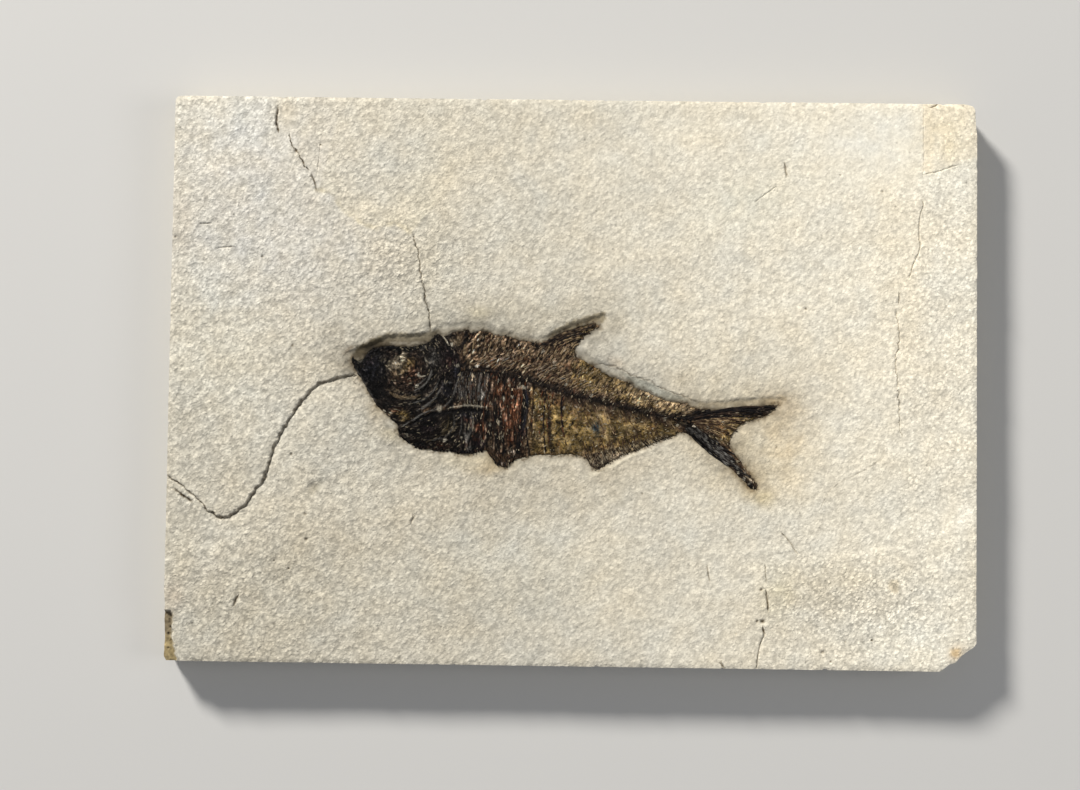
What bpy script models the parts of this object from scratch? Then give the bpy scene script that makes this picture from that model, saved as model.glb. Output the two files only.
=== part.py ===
"""Fossil fish slab: a flat limestone block with a flattened fish skeleton set in its upper face.

The slab lies on its back, so +Z points out of the face that carries the fish, +X runs along the
slab from the head end to the tail end, and +Y runs from the fish's belly to its back. The origin is
the middle of the underside. Tables and sizes are in millimetres and become metres in new_object.
"""

import math
import random

import bmesh
import bpy

MM = 0.001

SLAB_LENGTH = 311.0
SLAB_WIDTH = 218.5
SLAB_THICKNESS = 15.0
HALF_LENGTH = SLAB_LENGTH / 2
HALF_WIDTH = SLAB_WIDTH / 2
FACE_COLUMNS = 34
FACE_ROWS = 24
FACE_SWELL = 0.22
SWELL_WAVES = 7
SWELL_SEED = 11
SWELL_LENGTHS = (28.0, 95.0)
BLOCK_MARGIN = 1.0

CLEARANCE = 0.35
POCKET_FLOOR = 12.4
FISH_BASE = POCKET_FLOOR + CLEARANCE
BASE_STEP = 0.06
BASIN_DEPTH = 1.1
BASIN_SLOPE = 2.6
BONE_EDGE = SLAB_THICKNESS - 0.95
ABOVE_FACE = 2.0

# The flank: its ends, its rows as shares of the way from the spine to the edge, and its bones.
VERTEBRAE = 35
FLANK_START = -43.0
FLANK_END = 46.5
ROWS_BELOW = [1.0, 0.93, 0.78, 0.60, 0.42, 0.24, 0.09]
ROWS_ABOVE = [0.0, 0.10, 0.30, 0.52, 0.74, 0.90, 1.0]
FLANK_CROWN = 1.15
FLANK_CROWN_FALL = 0.45
RIB_RISE = 0.32
RIB_GAP_DEPTH = 0.06
RIB_ROWS_END = 0.95
LEAN_ABOVE = 4.4
LEAN_BELOW = 1.6
LEAN_FADE = 90.0
LEAN_END_COLUMNS = 8
SPINE_RISE = 0.55
SPINE_WAIST = 0.55
SCUTE_REACH = 0.45
SCUTE_FREE_COLUMNS = 20

# The fish, from measured places along its edge.
BACK = [(-52.0, 17.6), (-50.0, 16.8), (-46.0, 18.8), (-41.0, 20.0), (-38.0, 19.0), (-33.0, 19.3),
        (-30.0, 17.6), (-24.0, 17.3), (-20.0, 15.9), (-11.0, 15.2), (-4.0, 13.6), (2.0, 9.6),
        (9.0, 6.0), (15.0, 2.5), (23.0, 0.0), (30.0, -4.0), (37.5, -7.1), (45.0, -7.9), (50.0, -9.9)]
SPINE = [(-52.0, 5.0), (-42.0, 4.0), (-25.0, 3.0), (-18.0, 0.5), (-12.0, -1.5), (-5.0, -3.5),
         (5.0, -6.0), (15.0, -8.5), (25.0, -11.0), (35.0, -13.0), (50.0, -16.2)]
BELLY = [(-52.0, -27.8), (-46.5, -27.6), (-41.0, -29.0), (-38.0, -29.2), (-35.0, -27.8),
         (-26.0, -29.0), (-19.0, -30.0), (-13.0, -29.0), (-3.0, -28.6), (4.5, -28.8), (14.0, -27.4),
         (24.0, -24.2), (33.0, -21.4), (41.0, -19.4), (50.0, -23.6)]
SKULL_ROOF = [(-85.6, 7.8), (-84.5, 9.0), (-82.5, 7.4), (-80.0, 8.5), (-76.0, 11.8), (-73.0, 12.8),
              (-67.0, 12.9), (-62.0, 12.8), (-58.0, 13.8), (-55.0, 15.0), (-52.5, 17.8), (-50.0, 17.0),
              (-46.0, 18.8), (-41.5, 19.8), (-39.0, 17.5)]
SKULL_THROAT = [(-85.6, 5.6), (-84.0, 3.0), (-80.5, -2.0), (-78.0, -6.8), (-75.0, -11.3),
                (-70.5, -15.0), (-67.4, -20.0), (-64.5, -24.0), (-60.0, -26.6), (-57.0, -27.0),
                (-50.0, -28.0), (-46.5, -27.6), (-41.5, -28.7), (-39.0, -28.0)]
SKULL_COLUMNS = 28
SKULL_ROWS = 16
SKULL_CROWN = 0.85
SKULL_CROWN_POWER = 2.5
SKULL_EDGE_SLOPE = 6.0
EYE = (-66.0, 4.6)
EYE_RADIUS = 5.4
EYE_RIM_RISE = 0.45
EYE_RIM_WIDTH = 1.2
EYE_DEPTH = 0.85
EYE_HOLLOW_WIDTH = 4.05
CHEEK_ARCS = (10.4, 15.6, 20.8)
CHEEK_RISE = 0.50
CHEEK_ARC_WIDTH = 1.4
CHEEK_START = (-70.0, 6.6)
# Raised edges of the skull's plates: route, height and half width.
SKULL_RIDGES = [
    ([(-64.5, -18.0), (-60.0, -15.0), (-56.0, -12.5), (-51.0, -11.3), (-40.0, -9.8)], 0.60, 1.4),
    ([(-84.0, 5.6), (-79.5, 1.0), (-74.5, -6.0), (-69.0, -12.0)], 0.60, 2.0),
    ([(-82.0, 7.0), (-76.0, 9.4), (-66.0, 11.0), (-56.0, 12.6), (-46.0, 15.2)], 0.45, 1.4),
    ([(-64.0, -21.5), (-58.0, -24.0), (-45.0, -25.0)], 0.45, 1.6),
]

# Each fin: its root and tips as lines, its rays, its steps along a ray and its place in the pile.
RAY_RISE = 0.26
FIN_LIFT = 0.25
FIN_FALL = 0.20
FINS = {
    "dorsal_fin": {
        "root": [(-10.5, 13.2), (-5.0, 12.0), (1.5, 8.6)],
        "tips": [(8.5, 23.0), (10.5, 21.6), (7.0, 19.2), (3.6, 16.4), (2.4, 12.0)],
        "rays": 9, "steps": 4, "level": 2},
    "anal_fin": {
        "root": [(5.0, -26.0), (15.0, -24.6), (27.0, -21.0), (38.0, -17.6)],
        "tips": [(9.4, -34.7), (12.5, -33.3), (20.0, -28.6), (28.0, -25.6), (36.0, -22.2), (41.4, -19.9)],
        "rays": 17, "steps": 3, "level": 3},
    "pelvic_fin": {
        "root": [(-18.3, -26.7), (-24.2, -25.9), (-33.7, -25.2)],
        "tips": [(-19.2, -30.9), (-22.5, -32.2), (-25.5, -34.0), (-27.8, -33.3), (-31.2, -30.0),
                 (-33.4, -27.2)],
        "rays": 8, "steps": 3, "level": 4},
    "upper_tail_lobe": {
        "root": [(44.5, -8.4), (44.0, -12.0), (43.5, -16.0)],
        "tips": [(80.6, -7.4), (77.0, -11.6), (70.0, -14.4), (65.5, -16.2), (62.3, -19.6), (60.6, -24.2)],
        "rays": 10, "steps": 5, "level": 5},
    "lower_tail_lobe": {
        "root": [(43.8, -13.5), (43.4, -17.0), (42.6, -19.4)],
        "tips": [(60.2, -23.4), (63.2, -28.8), (68.2, -35.0), (71.4, -39.6), (70.6, -41.0), (68.6, -40.4)],
        "rays": 10, "steps": 5, "level": 6},
}

# The hollow that was cleared round the fish, followed anticlockwise from the snout.
BASIN_EDGE = [(-89.0, 7.0), (-86.0, 0.0), (-81.0, -9.0), (-73.0, -17.5), (-70.5, -24.0), (-62.0, -30.5),
              (-48.0, -31.8), (-36.0, -32.6), (-26.0, -37.0), (-17.0, -32.8), (2.0, -32.0),
              (8.0, -37.6), (17.0, -33.0), (28.0, -28.2), (41.0, -23.4), (50.0, -28.5), (60.0, -37.0),
              (69.0, -44.4), (74.6, -42.0), (72.0, -35.0), (66.0, -26.5), (68.0, -19.6), (78.0, -15.4),
              (84.6, -7.0), (80.0, -4.2), (60.0, -6.2), (50.0, -6.2), (38.0, -2.8), (25.0, 3.2),
              (15.0, 8.4), (13.6, 16.5), (15.0, 26.0), (9.0, 27.2), (-3.0, 24.0), (-13.0, 19.6),
              (-28.0, 21.6), (-42.0, 23.4), (-53.0, 21.0), (-62.0, 17.2), (-74.0, 16.6), (-84.0, 13.2)]

# Cracks in the face: their route, width at the face and depth.
CRACKS = {
    "crack_above_head": {
        "path": [(-62.4, 55.6), (-59.6, 47.6), (-59.2, 41.5), (-57.0, 33.5), (-55.4, 25.4), (-55.0, 19.5)],
        "width": 0.8, "depth": 0.9},
    "crack_top_left": {
        "path": [(-115.6, 109.8), (-116.0, 101.0), (-115.2, 96.0), (-111.0, 94.0), (-109.0, 89.3),
                 (-105.5, 84.2), (-101.7, 78.0), (-100.0, 72.0)],
        "width": 1.1, "depth": 1.2},
    "crack_right": {
        "path": [(134.5, 72.0), (133.2, 64.0), (133.7, 54.5), (130.3, 45.0), (127.0, 37.0),
                 (124.2, 28.0), (125.8, 17.4), (124.4, 9.3), (125.2, -0.7), (126.4, -19.0)],
        "width": 0.8, "depth": 0.8},
    "crack_bottom_right": {
        "path": [(81.5, -58.0), (86.5, -64.5), (80.0, -70.0), (74.8, -74.0), (75.8, -83.0),
                 (73.0, -91.0), (74.6, -95.5), (73.0, -101.0), (71.8, -109.8)],
        "width": 0.9, "depth": 0.9},
}
STEP_CRACK = [(-156.5, -37.5), (-151.5, -40.8), (-146.5, -44.8), (-139.5, -51.5), (-134.5, -54.3),
              (-130.0, -53.2), (-124.5, -48.5), (-118.0, -39.5), (-116.0, -33.0), (-110.0, -18.0),
              (-104.7, -9.8), (-98.6, -2.7), (-90.0, 0.0), (-85.5, 1.0)]
STEP_DROP = 0.9
STEP_START_SHARE = 0.5
STEP_RAMP = 6.0
GROOVE_END_SHARE = 0.25

# The slab's outline with its lost corners, followed anticlockwise from the bottom left corner.
SLAB_OUTLINE = [(-154.6, -HALF_WIDTH), (40.0, -HALF_WIDTH), (128.0, -HALF_WIDTH + 0.3),
                (131.6, -HALF_WIDTH + 0.2), (132.6, -HALF_WIDTH + 1.3), (134.0, -HALF_WIDTH + 0.3),
                (142.0, -HALF_WIDTH + 0.2), (143.8, -107.5), (145.2, -106.4), (147.3, -105.9),
                (149.5, -103.5), (152.0, -101.4), (154.4, -99.9), (HALF_LENGTH, -98.4),
                (HALF_LENGTH, 97.0), (155.1, 100.0), (154.7, 107.0), (153.8, 108.4), (151.0, HALF_WIDTH),
                (-153.8, HALF_WIDTH), (-155.0, 108.7), (-HALF_LENGTH, 107.4), (-HALF_LENGTH, -82.0),
                (-155.1, -88.0), (-HALF_LENGTH, -93.0), (-155.2, -101.0), (-HALF_LENGTH, -107.6)]
# A strip along the left edge where the top bed has flaked off.
EDGE_SPALL = [(-158.0, -88.5), (-153.6, -90.4), (-152.2, -92.0), (-152.5, -97.0), (-152.1, -101.0),
              (-151.2, -105.0), (-149.8, -112.0), (-158.0, -112.0)]
EDGE_SPALL_DEPTH = 2.2
# Beds seen in the slab's sides: bottom, top and how far the bed is set back.
BEDS = [(0.0, 2.9, 0.45), (3.1, 6.7, 0.0), (6.9, 8.3, 0.35), (8.5, SLAB_THICKNESS + ABOVE_FACE, 0.0)]


def clear_scene():
    for item in list(bpy.data.objects):
        bpy.data.objects.remove(item, do_unlink=True)


def new_collection(name, parent):
    group = bpy.data.collections.new(name)
    parent.children.link(group)
    return group


def new_material(name, colour, roughness):
    material = bpy.data.materials.new(name)
    material.use_nodes = True
    shader = material.node_tree.nodes["Principled BSDF"]
    shader.inputs["Base Color"].default_value = (*colour, 1.0)
    shader.inputs["Roughness"].default_value = roughness
    shader.inputs["Metallic"].default_value = 0.0
    return material


def new_object(name, form, collection, material=None):
    """Makes an object of a bmesh form whose vertices are in millimetres, with its faces triangulated."""
    bmesh.ops.recalc_face_normals(form, faces=form.faces)
    bmesh.ops.triangulate(form, faces=form.faces)
    bmesh.ops.scale(form, vec=(MM, MM, MM), verts=form.verts)
    mesh = bpy.data.meshes.new(name)
    form.to_mesh(mesh)
    form.free()
    item = bpy.data.objects.new(name, mesh)
    collection.objects.link(item)
    if material:
        mesh.materials.append(material)
    return item


def new_cutter(name, form, collection):
    cutter = new_object(name, form, collection)
    cutter.hide_render = True
    cutter.display_type = "WIRE"
    return cutter


def combine(target, operation, collection):
    """Joins or cuts a target with everything in a collection, in one exact step."""
    modifier = target.modifiers.new(collection.name, "BOOLEAN")
    modifier.operation = operation
    modifier.solver = "EXACT"
    modifier.operand_type = "COLLECTION"
    modifier.collection = collection


def y_at(line, x):
    """Height of a left-to-right line at x, straight between its points."""
    for (x0, y0), (x1, y1) in zip(line, line[1:]):
        if x <= x1:
            break
    share = min(max((x - x0) / (x1 - x0), 0.0), 1.0)
    return y0 + (y1 - y0) * share


def along(line, share):
    """Point at a share of a line's whole length."""
    lengths = [math.dist(a, b) for a, b in zip(line, line[1:])]
    left = share * sum(lengths)
    for a, b, length in zip(line, line[1:], lengths):
        if left <= length:
            part = left / length
            return a[0] + (b[0] - a[0]) * part, a[1] + (b[1] - a[1]) * part
        left -= length
    return line[-1]


def normals_of(line, closed):
    """Unit normals to the right of the direction of travel, one for each point."""
    count = len(line)
    result = []
    for i in range(count):
        before = line[(i - 1) % count] if closed or i > 0 else line[i]
        after = line[(i + 1) % count] if closed or i < count - 1 else line[i]
        dx, dy = after[0] - before[0], after[1] - before[1]
        size = math.hypot(dx, dy)
        result.append((dy / size, -dx / size))
    return result


def rounded(outline):
    """The outline with each corner cut at a quarter of its sides."""
    result = []
    for (x0, y0), (x1, y1) in zip(outline, outline[1:] + outline[:1]):
        result += [(0.75 * x0 + 0.25 * x1, 0.75 * y0 + 0.25 * y1),
                   (0.25 * x0 + 0.75 * x1, 0.25 * y0 + 0.75 * y1)]
    return result


def grown(outline, distance):
    """An anticlockwise outline with every point moved outwards."""
    return [(x + nx * distance, y + ny * distance)
            for (x, y), (nx, ny) in zip(outline, normals_of(outline, closed=True))]


def loft(rings):
    """A closed solid through rings of equal point counts, with flat ends."""
    form = bmesh.new()
    layers = [[form.verts.new(point) for point in ring] for ring in rings]
    count = len(rings[0])
    for low, high in zip(layers, layers[1:]):
        for i in range(count):
            j = (i + 1) % count
            form.faces.new((low[i], low[j], high[j], high[i]))
    form.faces.new(layers[0])
    form.faces.new(layers[-1])
    return form


def prism(outline, bottom, top):
    return loft([[(x, y, z) for x, y in outline] for z in (bottom, top)])


def relief(grid, base):
    """A closed solid under a grid of points, with upright walls and a flat base, and its outline.

    Pieces that are joined have bases at different heights, so no two of their faces lie in one plane."""
    form = bmesh.new()
    top = [[form.verts.new(point) for point in row] for row in grid]
    for near, far in zip(top, top[1:]):
        for i in range(len(near) - 1):
            form.faces.new((near[i], near[i + 1], far[i + 1], far[i]))
    rim = top[0] + [row[-1] for row in top[1:-1]] + top[-1][::-1] + [row[0] for row in top[-2:0:-1]]
    foot = [form.verts.new((vertex.co.x, vertex.co.y, base)) for vertex in rim]
    for i in range(len(rim)):
        j = (i + 1) % len(rim)
        form.faces.new((rim[i], rim[j], foot[j], foot[i]))
    form.faces.new(foot)
    outline = [(vertex.co.x, vertex.co.y) for vertex in foot]
    area = sum(a[0] * b[1] - b[0] * a[1] for a, b in zip(outline, outline[1:] + outline[:1]))
    return form, outline if area > 0 else outline[::-1]


def face_swell():
    """The slow rise and fall of the face, as a function of x and y."""
    chance = random.Random(SWELL_SEED)
    waves = []
    for _ in range(SWELL_WAVES):
        heading = chance.uniform(0.0, math.tau)
        length = chance.uniform(*SWELL_LENGTHS)
        waves.append((math.cos(heading) / length, math.sin(heading) / length, chance.uniform(0.0, math.tau)))

    def swell(x, y):
        total = sum(math.sin(math.tau * (x * a + y * b) + phase) for a, b, phase in waves)
        return FACE_SWELL * total / math.sqrt(SWELL_WAVES)

    return swell


def slab_block():
    """The block before anything is cut from it: a swelling face over a flat underside."""
    swell = face_swell()
    form = bmesh.new()
    bmesh.ops.create_grid(form, x_segments=FACE_COLUMNS, y_segments=FACE_ROWS, size=1.0)
    for vertex in form.verts:
        vertex.co.x *= HALF_LENGTH + BLOCK_MARGIN
        vertex.co.y *= HALF_WIDTH + BLOCK_MARGIN
        vertex.co.z = SLAB_THICKNESS + swell(vertex.co.x, vertex.co.y)
    rim = [edge for edge in form.edges if edge.is_boundary]
    skirt = bmesh.ops.extrude_edge_only(form, edges=rim)["geom"]
    for vertex in [item for item in skirt if isinstance(item, bmesh.types.BMVert)]:
        vertex.co.z = -BLOCK_MARGIN
    bmesh.ops.contextual_create(form, geom=[edge for edge in form.edges if edge.is_boundary])
    return form


def slab_plan():
    """The slab's outline as a stack of beds, each sawn back a little differently."""
    rings = []
    for bottom, top, set_back in BEDS:
        outline = grown(SLAB_OUTLINE, -set_back)
        rings += [[(x, y, z) for x, y in outline] for z in (bottom, top)]
    return loft(rings)


def groove(path, width, depth):
    """A V groove along a path, drawn in to a point at both ends."""
    spread = (depth + ABOVE_FACE) / depth * width / 2
    last = len(path) - 1
    rings = []
    for i, ((x, y), (nx, ny)) in enumerate(zip(path, normals_of(path, closed=False))):
        share = GROOVE_END_SHARE if i in (0, last) else 1.0
        reach = spread * share
        rings.append([(x - nx * reach, y - ny * reach, SLAB_THICKNESS + ABOVE_FACE),
                      (x, y, SLAB_THICKNESS - depth * share),
                      (x + nx * reach, y + ny * reach, SLAB_THICKNESS + ABOVE_FACE)])
    return loft(rings)


def stepped_crack():
    """A crack whose lower side has dropped: an upright wall, then a ramp back up to the face."""
    rings = []
    last = len(STEP_CRACK) - 1
    for i, ((x, y), (nx, ny)) in enumerate(zip(STEP_CRACK, normals_of(STEP_CRACK, closed=False))):
        drop = STEP_DROP * (STEP_START_SHARE + (1.0 - STEP_START_SHARE) * i / last)
        rise = ABOVE_FACE / drop
        ramp = STEP_RAMP * (1.0 + rise)
        rings.append([(x, y, SLAB_THICKNESS + ABOVE_FACE), (x, y, SLAB_THICKNESS - drop),
                      (x + nx * ramp, y + ny * ramp, SLAB_THICKNESS + ABOVE_FACE)])
    return loft(rings)


def basin():
    """The cleared hollow, with sloping sides."""
    rings = []
    for distance, z in ((-BASIN_SLOPE, SLAB_THICKNESS - BASIN_DEPTH),
                        (0.0, SLAB_THICKNESS),
                        (BASIN_SLOPE, SLAB_THICKNESS + ABOVE_FACE)):
        rings.append([(x, y, z) for x, y in grown(rounded(BASIN_EDGE), distance)])
    return loft(rings)


def fish_body():
    """Flank from behind the skull to the tail root: every other column is a rib over its vertebra."""
    rows = [-share for share in ROWS_BELOW] + ROWS_ABOVE
    columns = 2 * VERTEBRAE
    grid = []
    for share in rows:
        row = []
        for i in range(columns + 1):
            x = FLANK_START + (FLANK_END - FLANK_START) * i / columns
            lean = (LEAN_ABOVE * share if share > 0 else -LEAN_BELOW * share) * (1.0 - abs(x) / LEAN_FADE)
            lean *= min(1.0, (columns - i) / LEAN_END_COLUMNS)
            edge = BACK if share > 0 else BELLY
            spine_y = y_at(SPINE, x)
            y = spine_y + (y_at(edge, x + lean) - spine_y) * abs(share)
            on_rib = i % 2 == 0
            if share == -1.0 and on_rib and i < columns - SCUTE_FREE_COLUMNS:
                y -= SCUTE_REACH
            crown = (FLANK_CROWN - FLANK_CROWN_FALL * i / columns) * (1.0 - share ** 2)
            z = BONE_EDGE + crown
            if share == 0.0:
                z += SPINE_RISE if on_rib else SPINE_RISE * SPINE_WAIST
            elif abs(share) < RIB_ROWS_END:
                z += RIB_RISE if on_rib else -RIB_GAP_DEPTH
            row.append((x + lean, y, z))
        grid.append(row)
    return relief(grid, FISH_BASE)


def distance_to(line, x, y):
    """Shortest distance from a point to a line of straight pieces."""
    nearest = math.inf
    for (x0, y0), (x1, y1) in zip(line, line[1:]):
        dx, dy = x1 - x0, y1 - y0
        share = ((x - x0) * dx + (y - y0) * dy) / (dx * dx + dy * dy)
        share = min(max(share, 0.0), 1.0)
        nearest = min(nearest, math.hypot(x - x0 - dx * share, y - y0 - dy * share))
    return nearest


def bump(distance, half_width):
    return math.exp(-((distance / half_width) ** 2))


def skull_relief(x, y):
    """Height of the skull's plates, eye socket and cheek arcs above its crown."""
    rise = sum(height * bump(distance_to(line, x, y), width) for line, height, width in SKULL_RIDGES)
    from_eye = math.dist(EYE, (x, y))
    rise += EYE_RIM_RISE * bump(from_eye - EYE_RADIUS, EYE_RIM_WIDTH)
    rise -= EYE_DEPTH * bump(from_eye, EYE_HOLLOW_WIDTH)
    if x > CHEEK_START[0] and y < CHEEK_START[1]:
        rise += sum(CHEEK_RISE * bump(from_eye - radius, CHEEK_ARC_WIDTH) for radius in CHEEK_ARCS)
    return rise


def fish_skull():
    """Skull and gill cover: a crowned plate from the roof of the skull to the throat."""
    start, end = SKULL_ROOF[0][0], SKULL_ROOF[-1][0]
    grid = []
    for j in range(SKULL_ROWS + 1):
        row = []
        for i in range(SKULL_COLUMNS + 1):
            x = start + (end - start) * i / SKULL_COLUMNS
            share = j / SKULL_ROWS
            low, high = y_at(SKULL_THROAT, x), y_at(SKULL_ROOF, x)
            y = low + (high - low) * share
            crown = SKULL_CROWN * (1.0 - abs(2.0 * share - 1.0) ** SKULL_CROWN_POWER)
            edge = min(1.0, SKULL_EDGE_SLOPE * share, SKULL_EDGE_SLOPE * (1.0 - share))
            row.append((x, y, BONE_EDGE + crown + edge * skull_relief(x, y)))
        grid.append(row)
    return relief(grid, FISH_BASE + BASE_STEP)


def fish_fin(root, tips, rays, steps, level):
    """A fin fanned from its root to its tips: every other column is a ray."""
    grid = []
    for step in range(steps + 1):
        row = []
        for i in range(2 * rays + 1):
            share = i / (2 * rays)
            x0, y0 = along(root, share)
            x1, y1 = along(tips, share)
            t = step / steps
            rise = RAY_RISE if i % 2 else 0.0
            row.append((x0 + (x1 - x0) * t, y0 + (y1 - y0) * t, BONE_EDGE + FIN_LIFT + rise - FIN_FALL * t))
        grid.append(row)
    return relief(grid, FISH_BASE + level * BASE_STEP)


def build():
    clear_scene()
    parts = new_collection("fossil_fish_slab", bpy.context.scene.collection)
    cutters = new_collection("cutters", bpy.context.scene.collection)
    outline = new_collection("slab_outline", cutters)
    losses = new_collection("slab_losses", cutters)
    hollows = new_collection("slab_hollows", cutters)
    fish_pieces = new_collection("fish_pieces", cutters)
    stone = new_material("limestone", (0.66, 0.61, 0.52), 0.9)
    bone = new_material("fossil_bone", (0.055, 0.040, 0.028), 0.5)

    slab = new_object("limestone_slab", slab_block(), parts, stone)
    new_cutter("slab_plan", slab_plan(), outline)
    spall = prism(EDGE_SPALL, SLAB_THICKNESS - EDGE_SPALL_DEPTH, SLAB_THICKNESS + ABOVE_FACE)
    new_cutter("edge_spall", spall, losses)
    new_cutter("stepped_crack", stepped_crack(), losses)
    for name, crack in CRACKS.items():
        new_cutter(name, groove(**crack), losses)
    new_cutter("basin", basin(), hollows)

    flank, flank_outline = fish_body()
    fish = new_object("fossil_fish", flank, parts, bone)
    skull, skull_outline = fish_skull()
    new_cutter("skull", skull, fish_pieces)
    outlines = {"flank": flank_outline, "skull": skull_outline}
    for name, fin in FINS.items():
        form, outlines[name] = fish_fin(**fin)
        new_cutter(name, form, fish_pieces)
    for name, edge in outlines.items():
        room = prism(grown(edge, CLEARANCE), POCKET_FLOOR, SLAB_THICKNESS + ABOVE_FACE)
        new_cutter(name + "_pocket", room, hollows)

    combine(slab, "INTERSECT", outline)
    combine(slab, "DIFFERENCE", losses)
    combine(slab, "DIFFERENCE", hollows)
    combine(fish, "UNION", fish_pieces)


build()
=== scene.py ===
import math
import random

import bpy
import numpy as np
from mathutils import Matrix, Vector
from mathutils.geometry import delaunay_2d_cdt


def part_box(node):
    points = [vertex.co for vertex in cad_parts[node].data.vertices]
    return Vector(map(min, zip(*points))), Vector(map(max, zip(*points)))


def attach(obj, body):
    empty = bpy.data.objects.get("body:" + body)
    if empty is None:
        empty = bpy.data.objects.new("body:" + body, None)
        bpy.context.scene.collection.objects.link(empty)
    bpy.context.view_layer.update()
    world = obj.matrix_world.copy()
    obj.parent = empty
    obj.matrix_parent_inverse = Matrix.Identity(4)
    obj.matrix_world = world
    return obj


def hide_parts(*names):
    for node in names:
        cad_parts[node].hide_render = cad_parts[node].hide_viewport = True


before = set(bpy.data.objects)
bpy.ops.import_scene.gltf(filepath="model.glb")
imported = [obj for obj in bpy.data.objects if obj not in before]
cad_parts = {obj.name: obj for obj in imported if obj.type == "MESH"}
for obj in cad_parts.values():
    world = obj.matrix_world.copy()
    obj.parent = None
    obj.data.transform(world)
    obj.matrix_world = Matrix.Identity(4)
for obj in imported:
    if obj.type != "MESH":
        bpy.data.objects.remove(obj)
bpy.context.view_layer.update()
mm = 0.001
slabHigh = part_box("limestone_slab")[1]
halfX, halfY = slabHigh.x / mm, slabHigh.y / mm
faceZ = 15.0    # the face's level, before its relief

# lengths are in millimetres up to addMesh, and colours are screen levels of 0 to 255 up to linear


def gradientNoise(x, y, seed):
    # smooth lumps one unit across, with a spread of about 1
    turns = np.random.default_rng(seed).uniform(0.0, 2.0 * np.pi, (64, 64))
    xi, yi = np.floor(x).astype(int), np.floor(y).astype(int)
    fx, fy = x - xi, y - yi

    def corner(i, j):
        turn = turns[(yi + j) % 64, (xi + i) % 64]
        return np.cos(turn) * (fx - i) + np.sin(turn) * (fy - j)

    u = fx ** 3 * (fx * (fx * 6 - 15) + 10)
    v = fy ** 3 * (fy * (fy * 6 - 15) + 10)
    low = corner(0, 0) * (1 - u) + corner(1, 0) * u
    high = corner(0, 1) * (1 - u) + corner(1, 1) * u
    return (low * (1 - v) + high * v) * 4.8


def lumps(x, y, size, seed, octaves=1, angle=0.0, stretch=1.0):
    # lumps of a size, drawn out by stretch along an angle in degrees
    turn = math.radians(angle)
    along = (x * math.cos(turn) + y * math.sin(turn)) / stretch
    across = -x * math.sin(turn) + y * math.cos(turn)
    total, weight, whole = 0.0, 1.0, 0.0
    for octave in range(octaves):
        scale = 2 ** octave / size
        finer = gradientNoise(along * scale + 7.3 * octave, across * scale + 3.1, seed + octave)
        total = total + weight * finer
        whole += weight
        weight *= 0.5
    return total / whole ** 0.5


def smooth(low, high, value):
    t = np.clip((value - low) / (high - low), 0.0, 1.0)
    return t * t * (3 - 2 * t)


def nearPath(x, y, path):
    # distance to a path, which side of it (1 is to the right of travel) and how far along it, 0 to 1
    points = np.array(path, float)
    steps = np.diff(points, axis=0)
    lengths = np.hypot(steps[:, 0], steps[:, 1])
    start = np.concatenate([[0.0], np.cumsum(lengths)])
    best = np.full(x.shape, 1e9)
    side = np.zeros(x.shape)
    share = np.zeros(x.shape)
    for (px, py), (dx, dy), length, before in zip(points, steps, lengths, start):
        t = np.clip(((x - px) * dx + (y - py) * dy) / length ** 2, 0.0, 1.0)
        ox, oy = x - px - dx * t, y - py - dy * t
        distance = np.hypot(ox, oy)
        closer = distance < best
        best = np.where(closer, distance, best)
        side = np.where(closer, np.sign(ox * dy - oy * dx), side)
        share = np.where(closer, (before + t * length) / start[-1], share)
    return best, side, share


def insideDistance(x, y, outline):
    # distance to a closed outline, positive inside it
    ring = np.array(outline + outline[:1], float)
    distance, _, _ = nearPath(x, y, ring)
    inside = np.zeros(x.shape, bool)
    for (x0, y0), (x1, y1) in zip(ring, ring[1:]):
        if y0 == y1:
            continue
        crosses = (y0 > y) != (y1 > y)
        inside ^= crosses & (x < (x1 - x0) * (y - y0) / (y1 - y0) + x0)
    return np.where(inside, distance, -distance)


def roundPath(path, closed=False, passes=2):
    # corners cut off, so a path through few points runs smoothly
    points = [tuple(p) for p in path]
    for _ in range(passes):
        ends = points[1:] + points[:1] if closed else points[1:]
        cut = [] if closed else [points[0]]
        for (x0, y0), (x1, y1) in zip(points, ends):
            cut.append((0.75 * x0 + 0.25 * x1, 0.75 * y0 + 0.25 * y1))
            cut.append((0.25 * x0 + 0.75 * x1, 0.25 * y0 + 0.75 * y1))
        points = cut if closed else cut + [points[-1]]
    return points


def blob(x, y, spot):
    # soft oval patch given by place, reach and angle: 1 at its middle, 0 past its edge
    cx, cy, rx, ry, angle = spot
    turn = math.radians(angle)
    u = ((x - cx) * math.cos(turn) + (y - cy) * math.sin(turn)) / rx
    v = (-(x - cx) * math.sin(turn) + (y - cy) * math.cos(turn)) / ry
    return np.exp(-1.6 * (u * u + v * v) ** 1.3)


def blobs(x, y, spots):
    # soft patches added up, each with a weight of its own
    return sum(weight * blob(x, y, spot) for spot, weight in spots)


view = {
    "lens": 70.0, "place": (-0.0019, -0.0508, 0.8218),
    "forward": (-0.0128, 0.0560, -0.9984), "up": (-0.0129, 0.9983, 0.0561),
}
# each lamp: place, size, power and colour
studio = {
    "key": ((-1.70, 2.30, 1.62), 0.62, 166.0, (1.0, 0.97, 0.92)),
    "fill": ((0.35, -0.55, 1.5), 1.6, 2.6, (0.93, 0.96, 1.0)),
    "side": ((1.5, -0.1, 1.15), 0.9, 7.5, (1.0, 0.98, 0.95)),
}
room = {"air": (0.90, 0.93, 1.0), "airStrength": 0.20, "floor": (0.56, 0.555, 0.54), "floorSize": 8.0}


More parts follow.
